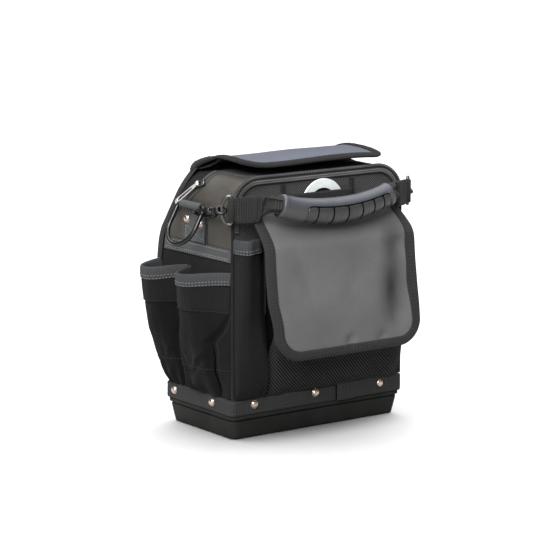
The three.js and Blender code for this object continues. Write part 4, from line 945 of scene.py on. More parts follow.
# zip along the taupe's rear edge: tape, coil, and the edging in front of it
ss = np.linspace(float(arch_run(246)), S80 - 1, 90)
for side, mir in (("left", lambda q: q), ("right", mirror)):
    sg = 1 if side == "left" else -1
    P = np.array([arch(ss, taupe_rear(ss) + d, o) for d, o in [(-1, 0.5), (0.5, 1.0), (4.5, 1.3), (8.5, 1.0), (10, 0.5)]])
    nn = grid_normals(mir(P))
    shell(f"rear_zip_tape_{side}", mir(P), 0.8, M["zip_tape"], sign=1 if nn[2, 20, 0] * -sg > 0 else -1)
    teeth = []
    for d in (3.7, 5.3):
        p = arch(ss, taupe_rear(ss) + d, 1.3)
        n = normalise(arch(ss, taupe_rear(ss) + d, 2.3) - p)
        teeth.append(stitch_arrays(mir(p), mir(n), 1.15, 0.45, 2.1, 1.0))
    mesh_object(f"rear_zip_coil_{side}", *join_arrays(teeth)[:2], M["coil"])
    se = np.linspace(float(arch_run(292)), S80 - 1, 70)
    P = np.array([arch(se, taupe_rear(se) + d, o) for d, o in [(-8.5, 0.3), (-8, 1.2), (-4, 1.8), (-1.6, 1.5), (-0.8, 0.4)]])
    nn = grid_normals(mir(P))
    shell(f"rear_zip_edging_{side}", mir(P), 0.7, M["edging"], sign=1 if nn[2, 20, 0] * -sg > 0 else -1)

# top cloth between the front wall and the back cover
S81, SMID = L1 + ARCH_R * math.radians(80.8), L1 + L2 + CX


def top_fn(U, V):
    s = np.where(U <= 0.5, S81 + (SMID - S81) * 2 * U, S81 + (SMID - S81) * 2 * (1 - U))
    y1 = float(back_y(ARCH_TOP)) - CLOTH - GAP - 1
    y = WRAP_FRONT + (y1 - WRAP_FRONT) * V
    P = arch(s, y)
    w = np.sin(PI * U) ** 0.5 * np.sin(PI * V) ** 0.5
    P = arch(s, y, w * (0.6 + 1.1 * wobble(P, 40, 33)))
    P[..., 0] = np.where(U > 0.5, -P[..., 0], P[..., 0])
    return P


P = grid(top_fn, 70, 34)
ob = shell("top_wall", P, CLOTH, M["front"], slot="body_fabric")
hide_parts("top_gusset")
declare(P)


def back_fn(U, V):
    z = BACK["z"][0] + (BACK["z"][-1] - BACK["z"][0]) * V
    fx = 1 - 2 * U
    x = fx * back_half(z)
    full = 3.2 * (1 - fx * fx) * np.sin(PI * np.clip((z - 52) / 290, 0, 1))
    P = np.stack([x, back_y(z) + full, z], -1)
    w = (1 - np.abs(fx) ** 8) * step(0, 0.06, V) * (1 - step(0.96, 1, V))
    P[..., 1] += w * (0.9 * wobble(P, 48, 36) + 0.35 * wobble(P, 15, 37))
    return P


P = grid(back_fn, 84, 96)
ob = shell("back_wall", P, CLOTH, M["panel"], slot="body_fabric")
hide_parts("back_cover")
declare(P)
Nb = grid_normals(P)
for j in (4, -5):
    thread["thread_dark"].append(stitch_arrays(P[16:-2, j], Nb[16:-2, j], 3.2, 1.4))
thread["thread_dark"].append(stitch_arrays(P[-3, 3:-3], Nb[-3, 3:-3], 3.2, 1.4))

for side, low, sg in (("left", 212, -1), ("right", BAND_TOP + 1, 1)):
    zz = np.linspace(low, 331, 110)
    rings = []
    for z in zz:
        a = np.linspace(0, 2 * PI, 18, endpoint=False)
        cy, hw = float(back_y(z)) - 3.75, float(back_half(z))
        wv = 0.25 * noise.noise(Vector((z / 9, 3.1, sg)))
        rings.append(np.column_stack([sg * (hw + 0.75 + (1.25 + wv) * np.sign(np.cos(a)) * np.abs(np.cos(a)) ** 0.8),
                                      cy + 5.1 * np.sign(np.sin(a)) * np.abs(np.sin(a)) ** 0.8, np.full(18, z)]))
    v, f, uv = loft_arrays(rings)
    ob = mesh_object(f"back_edge_{side}", v, f, M["binding"], uv[:, ::-1], slot="webbing_black")
    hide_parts(f"back_binding_{side}")

# ------------------------------------------------------------------------ flaps
front_flap = Flap(FLAP, 40, 30)
top_flap = Flap(TOP, 34, 18)


def flap_form(x, s, z):
    """Soft dents and the curl of the front flap, out from its table face."""
    x = np.asarray(x, float)
    hollow = step(58, 98, x) * step(123, 97, x)
    d = -12.5 * hollow * bump(z, 180, 36) - 8.0 * hollow * bump(z, 234, 18) - 2.4 * bump(x, 92, 13) * bump(z, 143, 14)
    d += 3.2 * bump(x, 68, 16) * bump(z, 190, 50) - 2.2 * bump(x - 0.3 * (z - 190), 20, 16) * bump(z, 205, 26)
    d += 2.6 * bump(x, -5, 75) * bump(z, 170, 60)
    d += -3.2 * bump(x, 16, 7) * bump(z, 120, 8) - 2.4 * bump(x, 66, 8) * bump(z, 119, 7) - 2.0 * bump(x + 0.35 * (z - 205), -52, 12) * bump(z, 205, 32)
    left = np.clip((26 - (x - front_flap.left(s))) / 26, 0, 1.3)
    d += -3.2 * left**2 * step(290, 240, z)
    return d


def top_form(x, s, z):
    return 0.9 * bump(x, 10, 60) - 1.2 * bump(x, 95, 18) * bump(s, 95, 30) + 0.8 * np.sin(np.asarray(x) / 31.0) * bump(s, 100, 30)


front_flap.extra, top_flap.extra = flap_form, top_form


def flap_piece(name, node, flap, t, mat, seed, slot):
    base = flap.sheet(t)

    def fn(U, V):
        P = base(U, V)
        n = grid_normals(P)
        w = np.sin(PI * np.clip(U, 0, 1)) ** 0.3
        return P + n * (w * (0.45 * wobble(P, 42, seed) + 0.15 * wobble(P, 16, seed + 1)))[..., None]
    P = grid(fn, 110, 120)
    want = np.array([0, -1.0, 0]) if node == "front_flap" else np.array([0, 0, 1.0])
    sign = 1 if grid_normals(P)[60, 55] @ want > 0 else -1
    ob = shell(name, P, t, mat, sign=sign, slot=slot)
    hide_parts(node)
    declare(P)
    return ob, P


flap_piece("front_flap_cloth", "front_flap", front_flap, 2.0, M["flap"], 40, "flap_coated")
flap_piece("top_flap_cloth", "top_flap", top_flap, 2.0, M["top"], 43, "flap_coated")


def hinge_fn(U, V):
    """Black cloth from the back cover's top edge up under the top flap, drawn down at its ends."""
    y = 38.8 - 42.0 * V
    z = np.interp(-y, [-38.8, -37.2, -36, -30, -22, -8, 8], [330.6, 332.0, 332.6, 335.0, 339.0, 344.0, 346.0]) - 0.5
    f = 2 * U - 1
    x = f * (113.5 - 8.5 * V)
    P = np.stack([x, y, z], -1)
    z = z + (1 - np.abs(f)) * 0.8 * wobble(P, 30, 46)
    return np.stack([x, y, z - step(0.86, 1.0, np.abs(f)) * np.maximum(z - 330.4, 0) * (1 - V) ** 0.6], -1)


P = grid(hinge_fn, 100, 40)
ob = shell("top_flap_hinge", P, 1.4, M["panel"], sign=1 if grid_normals(P)[20, 50, 2] > 0 else -1, slot="body_fabric")
declare(P)


for side, mir in (("left", lambda q: q), ("right", mirror)):
    p = np.array([(-117.5, 36.5, 327.5), (-114.6, 36, 331.8), (-111.5, 35, 335), (-108.8, 31.5, 337.6), (-106.6, 25, 340.6), (-104.8, 16, 343.8), (-103.6, 7, 346)])
    t = np.linspace(0, 6, 50)
    p = np.column_stack([smooth(np.arange(7), p[:, c], t) for c in range(3)])
    rad = smooth(np.arange(7), [3.2, 4.2, 4.6, 4.4, 4.0, 3.4, 2.2], t) + 0.2 * np.sin(t * 9)
    v, f, uv = loft_arrays(tube_rings(mir(p), rad, 18, up=(0, 0, 1)))
    mesh_object(f"hood_edge_{side}", v, f, M["binding"], uv, slot="webbing_black")
    # painted shade: a very dark skirt under each hood edge, standing in for the deep shade beneath the hood
    L = np.array([mir(p + np.array(o)) for o in ((0.5, 0, -1.0), (2.5, -0.5, -5.0), (5.0, -1.5, -10.0), (7.0, -2.0, -15.0))])
    shell(f"hood_lining_{side}", L, 1.0, M["lining"], sign=1 if grid_normals(L)[1, 20, 0] * mir(p)[0, 0] > 0 else -1, slot="body_fabric")


def bind_flap(name, node, flap, t, width, rows, seed, mat, face_up, left_wide=0.0):
    """Tape folded round a flap's edge, puffed a little between its stitches."""
    prof = [(1.0, 0.15, 0), (0.97, 1.0, 0), (0.8, 1.75, 0), (0.5, 2.1, 0), (0.22, 1.9, 0), (0.06, 1.2, 0), (0.0, 0.2, -0.9), (0.0, -1.2, -1.2),
            (0.05, -2.3, -0.4), (0.25, -3.0, 0), (0.6, -2.9, 0), (0.85, -2.4, 0)]
    P, run = [], 0.0
    last = None
    seams = []
    for row in rows:
        w = width + (left_wide if row[0] == 0 else (left_wide * math.cos(row[1]) if row[0] == 1 else 0))
        x0, s0 = flap.at_edge(row, 0)
        if last is not None:
            run += math.hypot(x0 - last[0], s0 - last[1])
        last = (x0, s0)
        puff = 0.22 * math.sin(2 * PI * run / 5.1 + 2 * noise.noise(Vector((run / 18, seed, 0)))) + 0.5 * noise.noise(Vector((run / 13, seed, 4.0)))
        line = []
        for f_, o, dd in prof:
            x, s = flap.at_edge(row, f_ * w + dd)
            k = 1.0 if o > 0.5 else 0.35
            line.append(flap.place(np.float64(x), np.float64(min(s, flap.long + 3)), t + o + k * puff * (1 - abs(f_ - 0.5))))
        P.append(line)
        x, s = flap.at_edge(row, w - 2.3)
        seams.append(flap.place(np.float64(x), np.float64(s), t + 1.62 + 0.5 * puff))
    P = np.array(P).transpose(1, 0, 2)
    n = grid_normals(P)
    mid = n[3, P.shape[1] // 2] @ np.array(face_up)
    ob = shell(name, P, 0.9, mat, sign=1 if mid > 0 else -1, slot="webbing_black")
    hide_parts(node)
    seams = np.array(seams)
    nn = n[3] * (1 if mid > 0 else -1)
    thread["thread_black"].append(stitch_arrays(seams, nn, 3.4, 1.2, 1.1, 0.55))
    return ob, P


# a hem row past the flap's end keeps the table's last slope
def extend(flap):
    e = 6.0
    dy, dz = flap.py[-1] - flap.py[-8], flap.pz[-1] - flap.pz[-8]
    m = math.hypot(dy, dz)
    flap.py, flap.pz = np.append(flap.py, flap.py[-1] + dy / m * e), np.append(flap.pz, flap.pz[-1] + dz / m * e)
    flap.s = np.append(flap.s, flap.s[-1] + e)
    flap.xl, flap.xr = np.append(flap.xl, flap.xl[-1]), np.append(flap.xr, flap.xr[-1])


extend(front_flap)
extend(top_flap)
bind_flap("front_flap_edge", "front_flap_binding", front_flap, 2.0, 11.5, front_flap.edge(80, 26, 80), 5.0, M["binding"], (0, -1, 0), 0.5)
bind_flap("top_flap_edge", "top_flap_binding", top_flap, 2.0, 11.5, top_flap.edge(50, 22, 80), 6.0, M["binding_top"], (0, 0, 1))

# ---------------------------------------------------------------------- pockets


def soft_pocket(name, node, t, wall, square, mat, sign, nu, nv, shape, thick=1.8, seed=50):
    P = grid(pocket_fn(t, wall, square, shape=shape), nu, nv)
    n = grid_normals(P) * sign
    U = np.linspace(0, 1, nu + 1)[None, :]
    V = np.linspace(0, 1, nv + 1)[:, None]
    w = np.sin(PI * U) ** 0.5 * (1 - step(0.9, 1, V)) * step(0, 0.06, V)
    P = P + n * (w * (0.9 * wobble(P, 27, seed) + 0.35 * wobble(P, 10, seed + 1)))[..., None]
    ob = shell(name, P, thick, mat, sign=sign, slot="body_fabric")
    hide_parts(node)
    declare(P)
    return ob, P, n


def side_shape(tilt, seed, strength):
    """Folds of a side pocket: gathered foot, slanting creases, mouth line dipping to the rear."""
    def fn(U, V, along, deep, z):
        s = np.sin(PI * U)
        foot = step(0.3, 0.02, V)
        pleat = foot * (1.9 * np.sin(2 * PI * (U * 5.2 + 0.35 * V)) - 1.2 * bump(U, 0.66, 0.04) * 2)
        line = np.interp(V, [0.0, 0.2, 0.344, 0.453, 0.71, 1.0], [0.19, 0.25, 0.255, 0.275, 0.03, -0.2])
        crease = strength * (1.15 * step(line - 0.02, line + 0.02, U) * step(line + 0.3, line + 0.06, U) * (0.45 + 0.75 * bump(V, 0.36, 0.12)) - 1.0 * bump(U, line - 0.035, 0.035)) * step(0.8, 0.62, V)
        crease += -0.5 * strength * bump(U - 0.9 * (V - 0.36), 0.66, 0.045) * bump(V, 0.34, 0.13)
        crease += strength * 0.55 * bump(V + 0.8 * (U - 0.32), 0.33, 0.03) * bump(U, 0.34, 0.08)
        crease += -strength * 0.5 * bump(V + 0.8 * (U - 0.32), 0.27, 0.03) * bump(U, 0.36, 0.09)
        crease += strength * 0.3 * np.sin(9 * U + 14 * V + seed) * bump(V, 0.4, 0.25)
        seam = -0.9 * bump(V, 0.7, 0.008) - 1.1 * bump(V, 0.19, 0.009)
        deep = np.maximum(deep + s ** 0.6 * (pleat + crease + seam), 0.0)
        out = deep / np.maximum(deep.max(1, keepdims=True), 1e-6)
        return along, deep, z + step(0.55, 1, V) * (3.4 * (1 - out) - 1.4 * out - tilt * (U - 0.5))
    return fn


rear_shape, front_shape = side_shape(-1.5, 1.0, 2.2), side_shape(2.0, 2.4, 5.0)
_, P_rear, N_rear = soft_pocket("side_pocket_rear_cloth", "side_pocket_rear", REAR_POCKET, left_wall, REAR_PLAN, M["side"], -1, 80, 110, rear_shape, seed=52)
_, P_side, N_side = soft_pocket("side_pocket_front_cloth", "side_pocket_front", SIDE_POCKET, left_wall, SIDE_PLAN, M["side"], -1, 96, 110, front_shape, seed=55)

# painted shade: a very dark tube laid along the front side pocket's crease, standing in for the shade in it
v = np.linspace(0.02, 0.42, 60)
u = np.interp(v, [0.0, 0.2, 0.344, 0.453], [0.19, 0.25, 0.255, 0.275]) - 0.022
iv, iu = np.round(v * 110).astype(int), np.round(u * 96).astype(int)
fold = P_side[iv, iu] + 0.7 * N_side[iv, iu]
for _ in range(4):
    fold[1:-1] = (fold[:-2] + 2 * fold[1:-1] + fold[2:]) / 4
v, f, uv = loft_arrays(tube_rings(fold, 1.5 * np.sin(PI * np.linspace(0.06, 0.94, len(fold))) ** 0.6, 8, up=(1, 0, 0)))
mesh_object("side_pocket_crease_shade", v, f, M["lining"], uv)


def front_pocket_shape(U, V, along, deep, z):
    s = np.sin(PI * U)
    foot = step(0.25, 0.0, V)
    deep = deep * (0.3 + 0.7 * step(0.0, 0.2, U))
    deep = deep + s ** 0.6 * (foot * 1.2 * np.sin(2 * PI * (U * 4.3 + 0.2)) + 1.6 * bump(U, 0.8, 0.07) * bump(V, 0.12, 0.12)
                              - 1.4 * bump(U - 0.25 * V, 0.84, 0.02) * bump(V, 0.15, 0.14))
    return along, np.maximum(deep, 0), z


_, P_front, N_front = soft_pocket("front_pocket_cloth", "front_pocket", FRONT_POCKET, front_wall, 0.4, M["twill"], 1, 120, 90, front_pocket_shape, seed=58)
# painted shade: a very dark sheet over the front pocket's left end, standing in for the shade of the gap under the flap
# beside the corner pocket
G = P_front + 1.6 * N_front
G = np.array([[[np.interp(1 + c * (2.5 + 15.5 * float(step(14, 50, r))), np.arange(G.shape[1]), G[r, :, k]) for k in range(3)] for c in np.linspace(0, 1, 16)] for r in range(14, 86)])
shell("front_pocket_gusset", G, 0.8, M["lining"], sign=1, slot="body_fabric")


def corner_shape(U, V, along, deep, z):
    s = np.sin(PI * U)
    ridge = np.interp(V, [0, 0.1, 0.29, 0.5, 1.0], [0.7, 0.68, 0.55, 0.42, 0.4])
    deep = deep * (1 + 0.32 * bump(U, ridge - 0.08, 0.22)) * (1 - 0.55 * step(ridge, ridge + 0.28, U))
    deep = deep + s ** 0.6 * (-2.6 * bump(U + 0.9 * (V - 0.05), 0.62, 0.05) * step(0.2, 0.0, V)
                              + 2.4 * bump(U + 0.9 * (V - 0.05), 0.72, 0.06) * step(0.24, 0.02, V)
                              - 0.8 * bump(U, 0.3, 0.05) * bump(V, 0.5, 0.3))
    along = along + 9.0 * step(0.5, 1.0, U) * bump(V, 0.17, 0.18)
    return along, np.maximum(deep, 0), z


_, P_corner, N_corner = soft_pocket("corner_pocket_cloth", "corner_pocket", CORNER_POCKET, front_wall, 0.5, M["pocket"], 1, 64, 100, corner_shape, seed=61)


def hem(name, node, P, N, high, mat, seed, mouth=1.0):
    """Tape folded over a pocket's mouth, following its cloth; two rows of stitches."""
    zs = P[..., 2]
    nu = P.shape[1]
    top = P[-1, :, 2]
    prof = [(1.25, -high), (1.6, -high + 0.8), (1.75, -high * 0.6), (1.7, -3.0), (1.45, -1.0), (0.8, 0.6), (-0.4, 1.2), (-1.6, 0.9), (-2.6, -0.4), (-3.0, -3.0), (-2.9, -high * 0.7)]
    G = []
    for o, dz in prof:
        row = []
        for j in range(nu):
            z = top[j] + min(dz, 0)
            q = np.array([np.interp(z, zs[:, j], P[:, j, k]) for k in range(3)])
            n = np.array([np.interp(z, zs[:, j], N[:, j, k]) for k in range(3)])
            wob = 0.3 * noise.noise(Vector((q[0] / 12, q[1] / 12, seed)))
            row.append(q + n / max(np.linalg.norm(n), 1e-6) * (o + (wob if o > 0 else 0)) + np.array([0, 0, max(dz, 0) * mouth]))
        G.append(row)
    G = np.array(G)
    sign = 1 if (grid_normals(G)[2] * N[-1]).sum() > 0 else -1
    ob = shell(name, G, 0.8, mat, sign=sign, slot="webbing_grey")
    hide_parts(node)
    for k in (1.3, 5.0):
        path, nn = [], []
        for j in range(1, nu - 1):
            z = top[j] - high + k
            q = np.array([np.interp(z, zs[:, j], P[:, j, i]) for i in range(3)])
            n = np.array([np.interp(z, zs[:, j], N[:, j, i]) for i in range(3)])
            n /= max(np.linalg.norm(n), 1e-6)
            path.append(q + n * 1.72)
            nn.append(n)
        thread["thread_grey"].append(stitch_arrays(path, nn, 2.8, 1.5, 0.8, 0.5))
    return ob


hem("side_pocket_rear_tape", "side_pocket_rear_hem", P_rear, N_rear, 15, M["hem"], 2.0)
hem("side_pocket_front_tape", "side_pocket_front_hem", P_side, N_side, 15, M["hem"], 3.0)
hem("corner_pocket_tape", "corner_pocket_hem", P_corner, N_corner, 17, M["hem"], 4.0)


def on_cloth(P, N, z_of, lift, j0=0, j1=None):
    """Path round a pocket at a height given for each column."""
    out, nn = [], []
    for j in range(j0, P.shape[1] if j1 is None else j1):
        z = z_of(j)
        q = np.array([np.interp(z, P[:, j, 2], P[:, j, i]) for i in range(3)])
        n = np.array([np.interp(z, P[:, j, 2], N[:, j, i]) for i in range(3)])
        n /= max(np.linalg.norm(n), 1e-6)
        out.append(q + n * lift)
        nn.append(n)
    return np.array(out), np.array(nn)


# a gathered band under each side pocket's hem, and its seams
for name, P, N, z0, z1, low in (("side_pocket_rear_gather", P_rear, N_rear, 163, 194.5, 88), ("side_pocket_front_gather", P_side, N_side, 161, 195, 88)):
    nu = P.shape[1]
    rows = []
    for k, (f_, o) in enumerate([(0, 0.2), (0.02, 0.8), (0.25, 0.95), (0.5, 0.9), (0.75, 0.9), (1.0, 0.7)]):
        path, nn = on_cloth(P, N, lambda j: z0 + (z1 - z0) * f_, 0.0)
        gath = np.array([0.14 * math.sin(j * 1.9) + 0.16 * noise.noise(Vector((j / 2.3, k * 0.4, z0))) for j in range(nu)])
        rows.append(path + nn * (o + gath * (1 if 0 < k < 5 else 0.3))[:, None])
    shell(name, np.array(rows)[:, 2:-2], 0.6, M["elastic"], sign=-1)
    for z, dz in ((z0 + 1.6, 1.15), (low, 0.1)):
        p, n = on_cloth(P, N, lambda j: z, dz, 3, nu - 3)
        thread["thread_black"].append(stitch_arrays(p, n, 3.0, 1.4, 0.9, 0.4))

# stitched strip down the corner pocket's inner edge
nu = P_corner.shape[1]
cols = np.linspace(nu * 0.80, nu * 0.965, 7)
strip_rows = []
for z in np.linspace(158, 238, 40):
    row = []
    for c, o in zip(cols, (0.2, 1.2, 1.5, 1.55, 1.5, 1.2, 0.2)):
        j = int(c)
        fr = c - j
        a, na = on_cloth(P_corner, N_corner, lambda q: z, o, j, j + 1)
        b, nb = on_cloth(P_corner, N_corner, lambda q: z, o, min(j + 1, nu - 1), min(j + 2, nu))
        row.append(a[0] * (1 - fr) + b[0] * fr)
    strip_rows.append(row)
S = np.array(strip_rows)
sgn = 1 if grid_normals(S)[20, 3] @ np.array([0.5, -1, 0]) > 0 else -1
shell("corner_pocket_strip", S, 0.9, M["web"], sign=sgn)
ns = grid_normals(S) * sgn
for c in (1, 5):
    thread["thread_dark"].append(stitch_arrays(S[1:-1, c] + ns[1:-1, c] * 0.1, ns[1:-1, c], 3.0, 1.4, 0.7, 0.3))

# narrow slot pocket, its hem, and the ring that stands in it


def slot_fn(off):
    def fn(U, V):
        z = 242 + 51.1 * V
        d = np.interp(z, [242, 250, 293.1], [5.6, 6.3, 6.6])
        c, s = -np.cos(PI * U), np.maximum(np.sin(PI * U), 0)
        P = front_wall(-1 + 52 * np.sign(c) * np.abs(c) ** 0.3, (d + off) * s ** 0.3, z)
        P[..., 1] -= s * (0.35 * wobble(P, 19, 64))
        return P
    return fn


P = grid(slot_fn(0), 80, 30)
ob = shell("slot_pocket_cloth", P, 1.6, M["front"], slot="body_fabric")
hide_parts("slot_pocket")
declare(P)
U = np.linspace(0, 1, 91)
c, s = -np.cos(PI * U), np.maximum(np.sin(PI * U), 0)
rows = []
for o, z in [(6.3, 293.5), (6.7, 294.1), (6.9, 297.5), (6.95, 301.5), (6.7, 304.5), (6.1, 305.5), (5.2, 305.1), (4.9, 302.5), (4.9, 296.5)]:
    P = front_wall(-1 + 52 * np.sign(c) * np.abs(c) ** 0.3, o * s ** 0.3, np.full_like(U, z))
    P[:, 2] += 0.4 * np.sin(U * 9)
    rows.append(P)
P = np.array(rows)
ob = shell("slot_pocket_hem", P, 0.8, M["web"], sign=1 if grid_normals(P)[2, 45, 1] < 0 else -1, slot="webbing_black")
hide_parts("slot_hem")
for z in (295.5, 303.1):
    p = front_wall(-1 + 52 * np.sign(c) * np.abs(c) ** 0.3, 6.95 * s ** 0.3, np.full_like(U, z))[4:-4]
    thread["thread_dark"].append(stitch_arrays(p, front_n(p), 3.0, 1.4, 0.8, 0.35))
# seam tapes either side of the slot pocket, up to the zip
for x0 in (-54.5, 52.5):
    zz = np.linspace(246, 317, 30)
    rows = [np.column_stack([np.full(30, x0 + dx), np.full(30, FRONT_Y - o), zz]) for dx, o in [(-4, 0.5), (-3.4, 1.5), (0, 1.9), (3.4, 1.5), (4, 0.5)]]
    P = np.array(rows)
    shell(f"slot_seam_{'left' if x0 < 0 else 'right'}", P, 0.8, M["web_across"], sign=1 if grid_normals(P)[2, 10, 1] < 0 else -1)
    for dx in (-2.6, 2.6):
        p = np.column_stack([np.full(30, x0 + dx), np.full(30, FRONT_Y - 1.75), zz])[1:-1]
        thread["thread_dark"].append(stitch_arrays(p, front_n(p), 3.0, 1.4, 0.7, 0.3))

prof = [(21.0, -75.0), (21.0, -76.2), (21.4, -76.6), (32.6, -76.6), (33.0, -76.2), (33.0, -75.0), (32.6, -74.6), (21.4, -74.6)]
a = 2 * PI * np.arange(72) / 72
rings = [np.column_stack([4.5 + r * np.cos(a), np.full(72, y), 287.5 + r * np.sin(a)]) for r, y in prof]
v, f, uv = loft_arrays(rings, closed=True)
ob = mesh_object("slot_ring", v, f, M["ring"], uv, smooth_angle=35, slot="ring_metal")
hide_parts("metal_ring")

# --------------------------------------------------------------------- hardware


def unit(v):
    v = np.asarray(v, float)
    return v / np.linalg.norm(v)


def flip_arrays(arr):
    v, f, uv = arr
    return np.asarray(v) * np.array([-1.0, 1, 1]), [tuple(q)[::-1] for q in f], uv


def pair(name, node, arr, mat, slot, bodies=("root", "root"), smooth_angle=40):
    out = []
    for side, body, a in (("left", bodies[0], arr), ("right", bodies[1], flip_arrays(arr))):
        ob = mesh_object(f"{name}_{side}", a[0], a[1], mat, a[2], body=body, slot=slot, smooth_angle=smooth_angle)
        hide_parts(f"{node}_{side}")
        out.append(ob)
    return out


def rod_arrays(p, q, profile, sides=20):
    """Turned rod from p to q; profile rows are (share of the way, radius)."""
    p, q = np.asarray(p, float), np.asarray(q, float)
    L = np.linalg.norm(q - p)
    return lathe_arrays([(r, s * L) for s, r in profile], p, (q - p) / L, sides)


def sleeve_arrays(p, q, inner, outer, sides=28, rows=2, lip=0.25):
    p, q = np.asarray(p, float), np.asarray(q, float)
    ax = unit(q - p)
    n = np.array([0, 0, 1.0]) if abs(ax[2]) < 0.9 else np.array([1.0, 0, 0])
    n = unit(n - ax * n.dot(ax))
    b = np.cross(ax, n)
    a = 2 * PI * np.arange(sides) / sides
    L = np.linalg.norm(q - p)
    prof = [(outer - lip, 0), (outer, lip), (outer, L - lip), (outer - lip, L), (inner + lip, L), (inner, L - lip), (inner, lip), (inner + lip, 0)]
    rings = [p + ax * h + r * (np.cos(a)[:, None] * n + np.sin(a)[:, None] * b) for r, h in prof]
    return loft_arrays(rings, closed=True)


def dense(pts, n):
    """Even points along a smooth curve through pts."""
    pts = np.asarray(pts, float)
    s = np.concatenate([[0], np.cumsum(np.linalg.norm(np.diff(pts, axis=0), axis=1))])
    t = np.linspace(0, s[-1], n)
    m = np.gradient(pts, s, axis=0)
    i = np.clip(np.searchsorted(s, t) - 1, 0, len(s) - 2)
    h = (s[i + 1] - s[i])[:, None]
    u = ((t - s[i]) / (s[i + 1] - s[i]))[:, None]
    return ((2 * u**3 - 3 * u**2 + 1) * pts[i] + (u**3 - 2 * u**2 + u) * h * m[i]
            + (-2 * u**3 + 3 * u**2) * pts[i + 1] + (u**3 - u**2) * h * m[i + 1])


TILT = math.radians(29.2)
D_BAR, D_HALF, D_CORNER, D_SIDE, D_LONG, D_WIRE = (-140.0, 4.0, 289.5), 28.5, 4.5, 27.0, 53.0, 2.8
d_down, d_out = np.array([-math.sin(TILT), 0, -math.cos(TILT)]), np.array([-math.cos(TILT), 0, math.sin(TILT)])
d_at = lambda a, k: np.array(D_BAR) + np.array([0, a, 0]) + d_down * k
path = [d_at(y, 0) for y in np.linspace(-D_HALF + D_CORNER, D_HALF - D_CORNER, 30)]
path += [d_at(D_HALF - D_CORNER * (1 - math.sin(a)), D_CORNER * (1 - math.cos(a))) for a in np.linspace(0, PI / 2, 9)[1:]]
path += [d_at(D_HALF, k) for k in np.linspace(D_CORNER, D_SIDE, 14)[1:]]
path += [d_at(D_HALF * math.cos(a), D_SIDE + (D_LONG - D_SIDE) * math.sin(a)) for a in np.linspace(0, PI, 50)[1:]]
path += [d_at(-D_HALF, k) for k in np.linspace(D_SIDE, D_CORNER, 14)[1:]]
path += [d_at(-D_HALF + D_CORNER * (1 - math.sin(a)), D_CORNER * (1 - math.cos(a))) for a in np.linspace(PI / 2, 0, 9)[1:-1]]
pair("carry_ring", "d_ring", loft_arrays(tube_rings(path, D_WIRE, 18, closed=True, up=d_out), closed=True), M["black_metal"], "hardware_black")

# tab: sewn leaf and the loop round the ring's bar
y = np.linspace(-18, 26, 29)
rows_z = [243.5, 250, 256, 262, 268, 273, 278, 281.5, 284, 286]
wall_x = [float(BODY_HALF + end_bulge(z, 26)) + GAP + 2 for z in rows_z[:7]] + [133.9 + 1.2, 135.4 + 1, 137.4]
P = np.array([np.column_stack([np.full(29, -x) - 0.25 * np.sin(y / 3.1 + i), y + 0.3 * math.sin(i), np.full(29, z)]) for i, (x, z) in enumerate(zip(wall_x, rows_z))])
leaf = shell_arrays(P, 2.0, -1, 0.35)
ang = np.linspace(0, 2 * PI, 25)[:-1]
rings = []
for yy, rr in zip(np.linspace(-18, 26, 23), [0.3] + [0.0] * 21 + [0.3]):
    w = 0.2 * noise.noise(Vector((yy / 3, 0.5, 9)))
    rings.append(np.column_stack([D_BAR[0] + (4.9 - rr + w) * np.cos(ang), np.full(24, yy), D_BAR[2] + (4.9 - rr + w) * np.sin(ang)]))
hole = [np.column_stack([D_BAR[0] + 2.9 * np.cos(ang), np.full(24, yy), D_BAR[2] + 2.9 * np.sin(ang)]) for yy in (26, 4, -18)]
loop_v, loop_f, loop_uv = loft_arrays(rings + hole, closed=True)
pair("ring_tab", "tab", join_arrays([leaf, (loop_v, loop_f, loop_uv[:, ::-1])]), M["tab"], "webbing_grey")
for sgn_, mir in ((1, lambda q: q), (-1, mirror)):
    for yy in (-15.4, 23.4):
        zz = np.linspace(246, 276, 20)
        x = np.array([float(BODY_HALF + end_bulge(z, 26)) + GAP + 2.3 for z in zz])
        p = np.column_stack([-x, np.full(20, yy), zz])
        thread["thread_grey"].append(stitch_arrays(mir(p), np.tile([-sgn_, 0.0, 0], (20, 1)), 2.6, 1.6, 0.7, 0.35))
    for y0, y1 in ((-15, 23), (23, -15)):
        p = np.column_stack([np.full(20, -136.5), np.linspace(y0, y1, 20), np.linspace(247, 262, 20)])
        p[:, 0] = [-(float(BODY_HALF + end_bulge(z, 26)) + GAP + 2.3) for z in p[:, 2]]
        thread["thread_grey"].append(stitch_arrays(mir(p), np.tile([-sgn_, 0.0, 0], (20, 1)), 2.6, 1.6, 0.7, 0.35))
    # painted shade: a narrow black tape in front of the tab, standing in for the shade along the tab's front edge
    zz = np.linspace(243, 268, 30)
    rows = [arch(arch_run(zz), np.full(30, -20.2 + d), o) for d, o in [(-1.6, 0.2), (-1.2, 1.4), (0, 1.7), (1.2, 1.4), (1.6, 0.2)]]
    P = mir(np.array(rows))
    shell(f"tab_edge_shade_{'left' if sgn_ > 0 else 'right'}", P, 0.6, M["binding"], sign=1 if grid_normals(P)[2, 10, 0] * -sgn_ > 0 else -1)

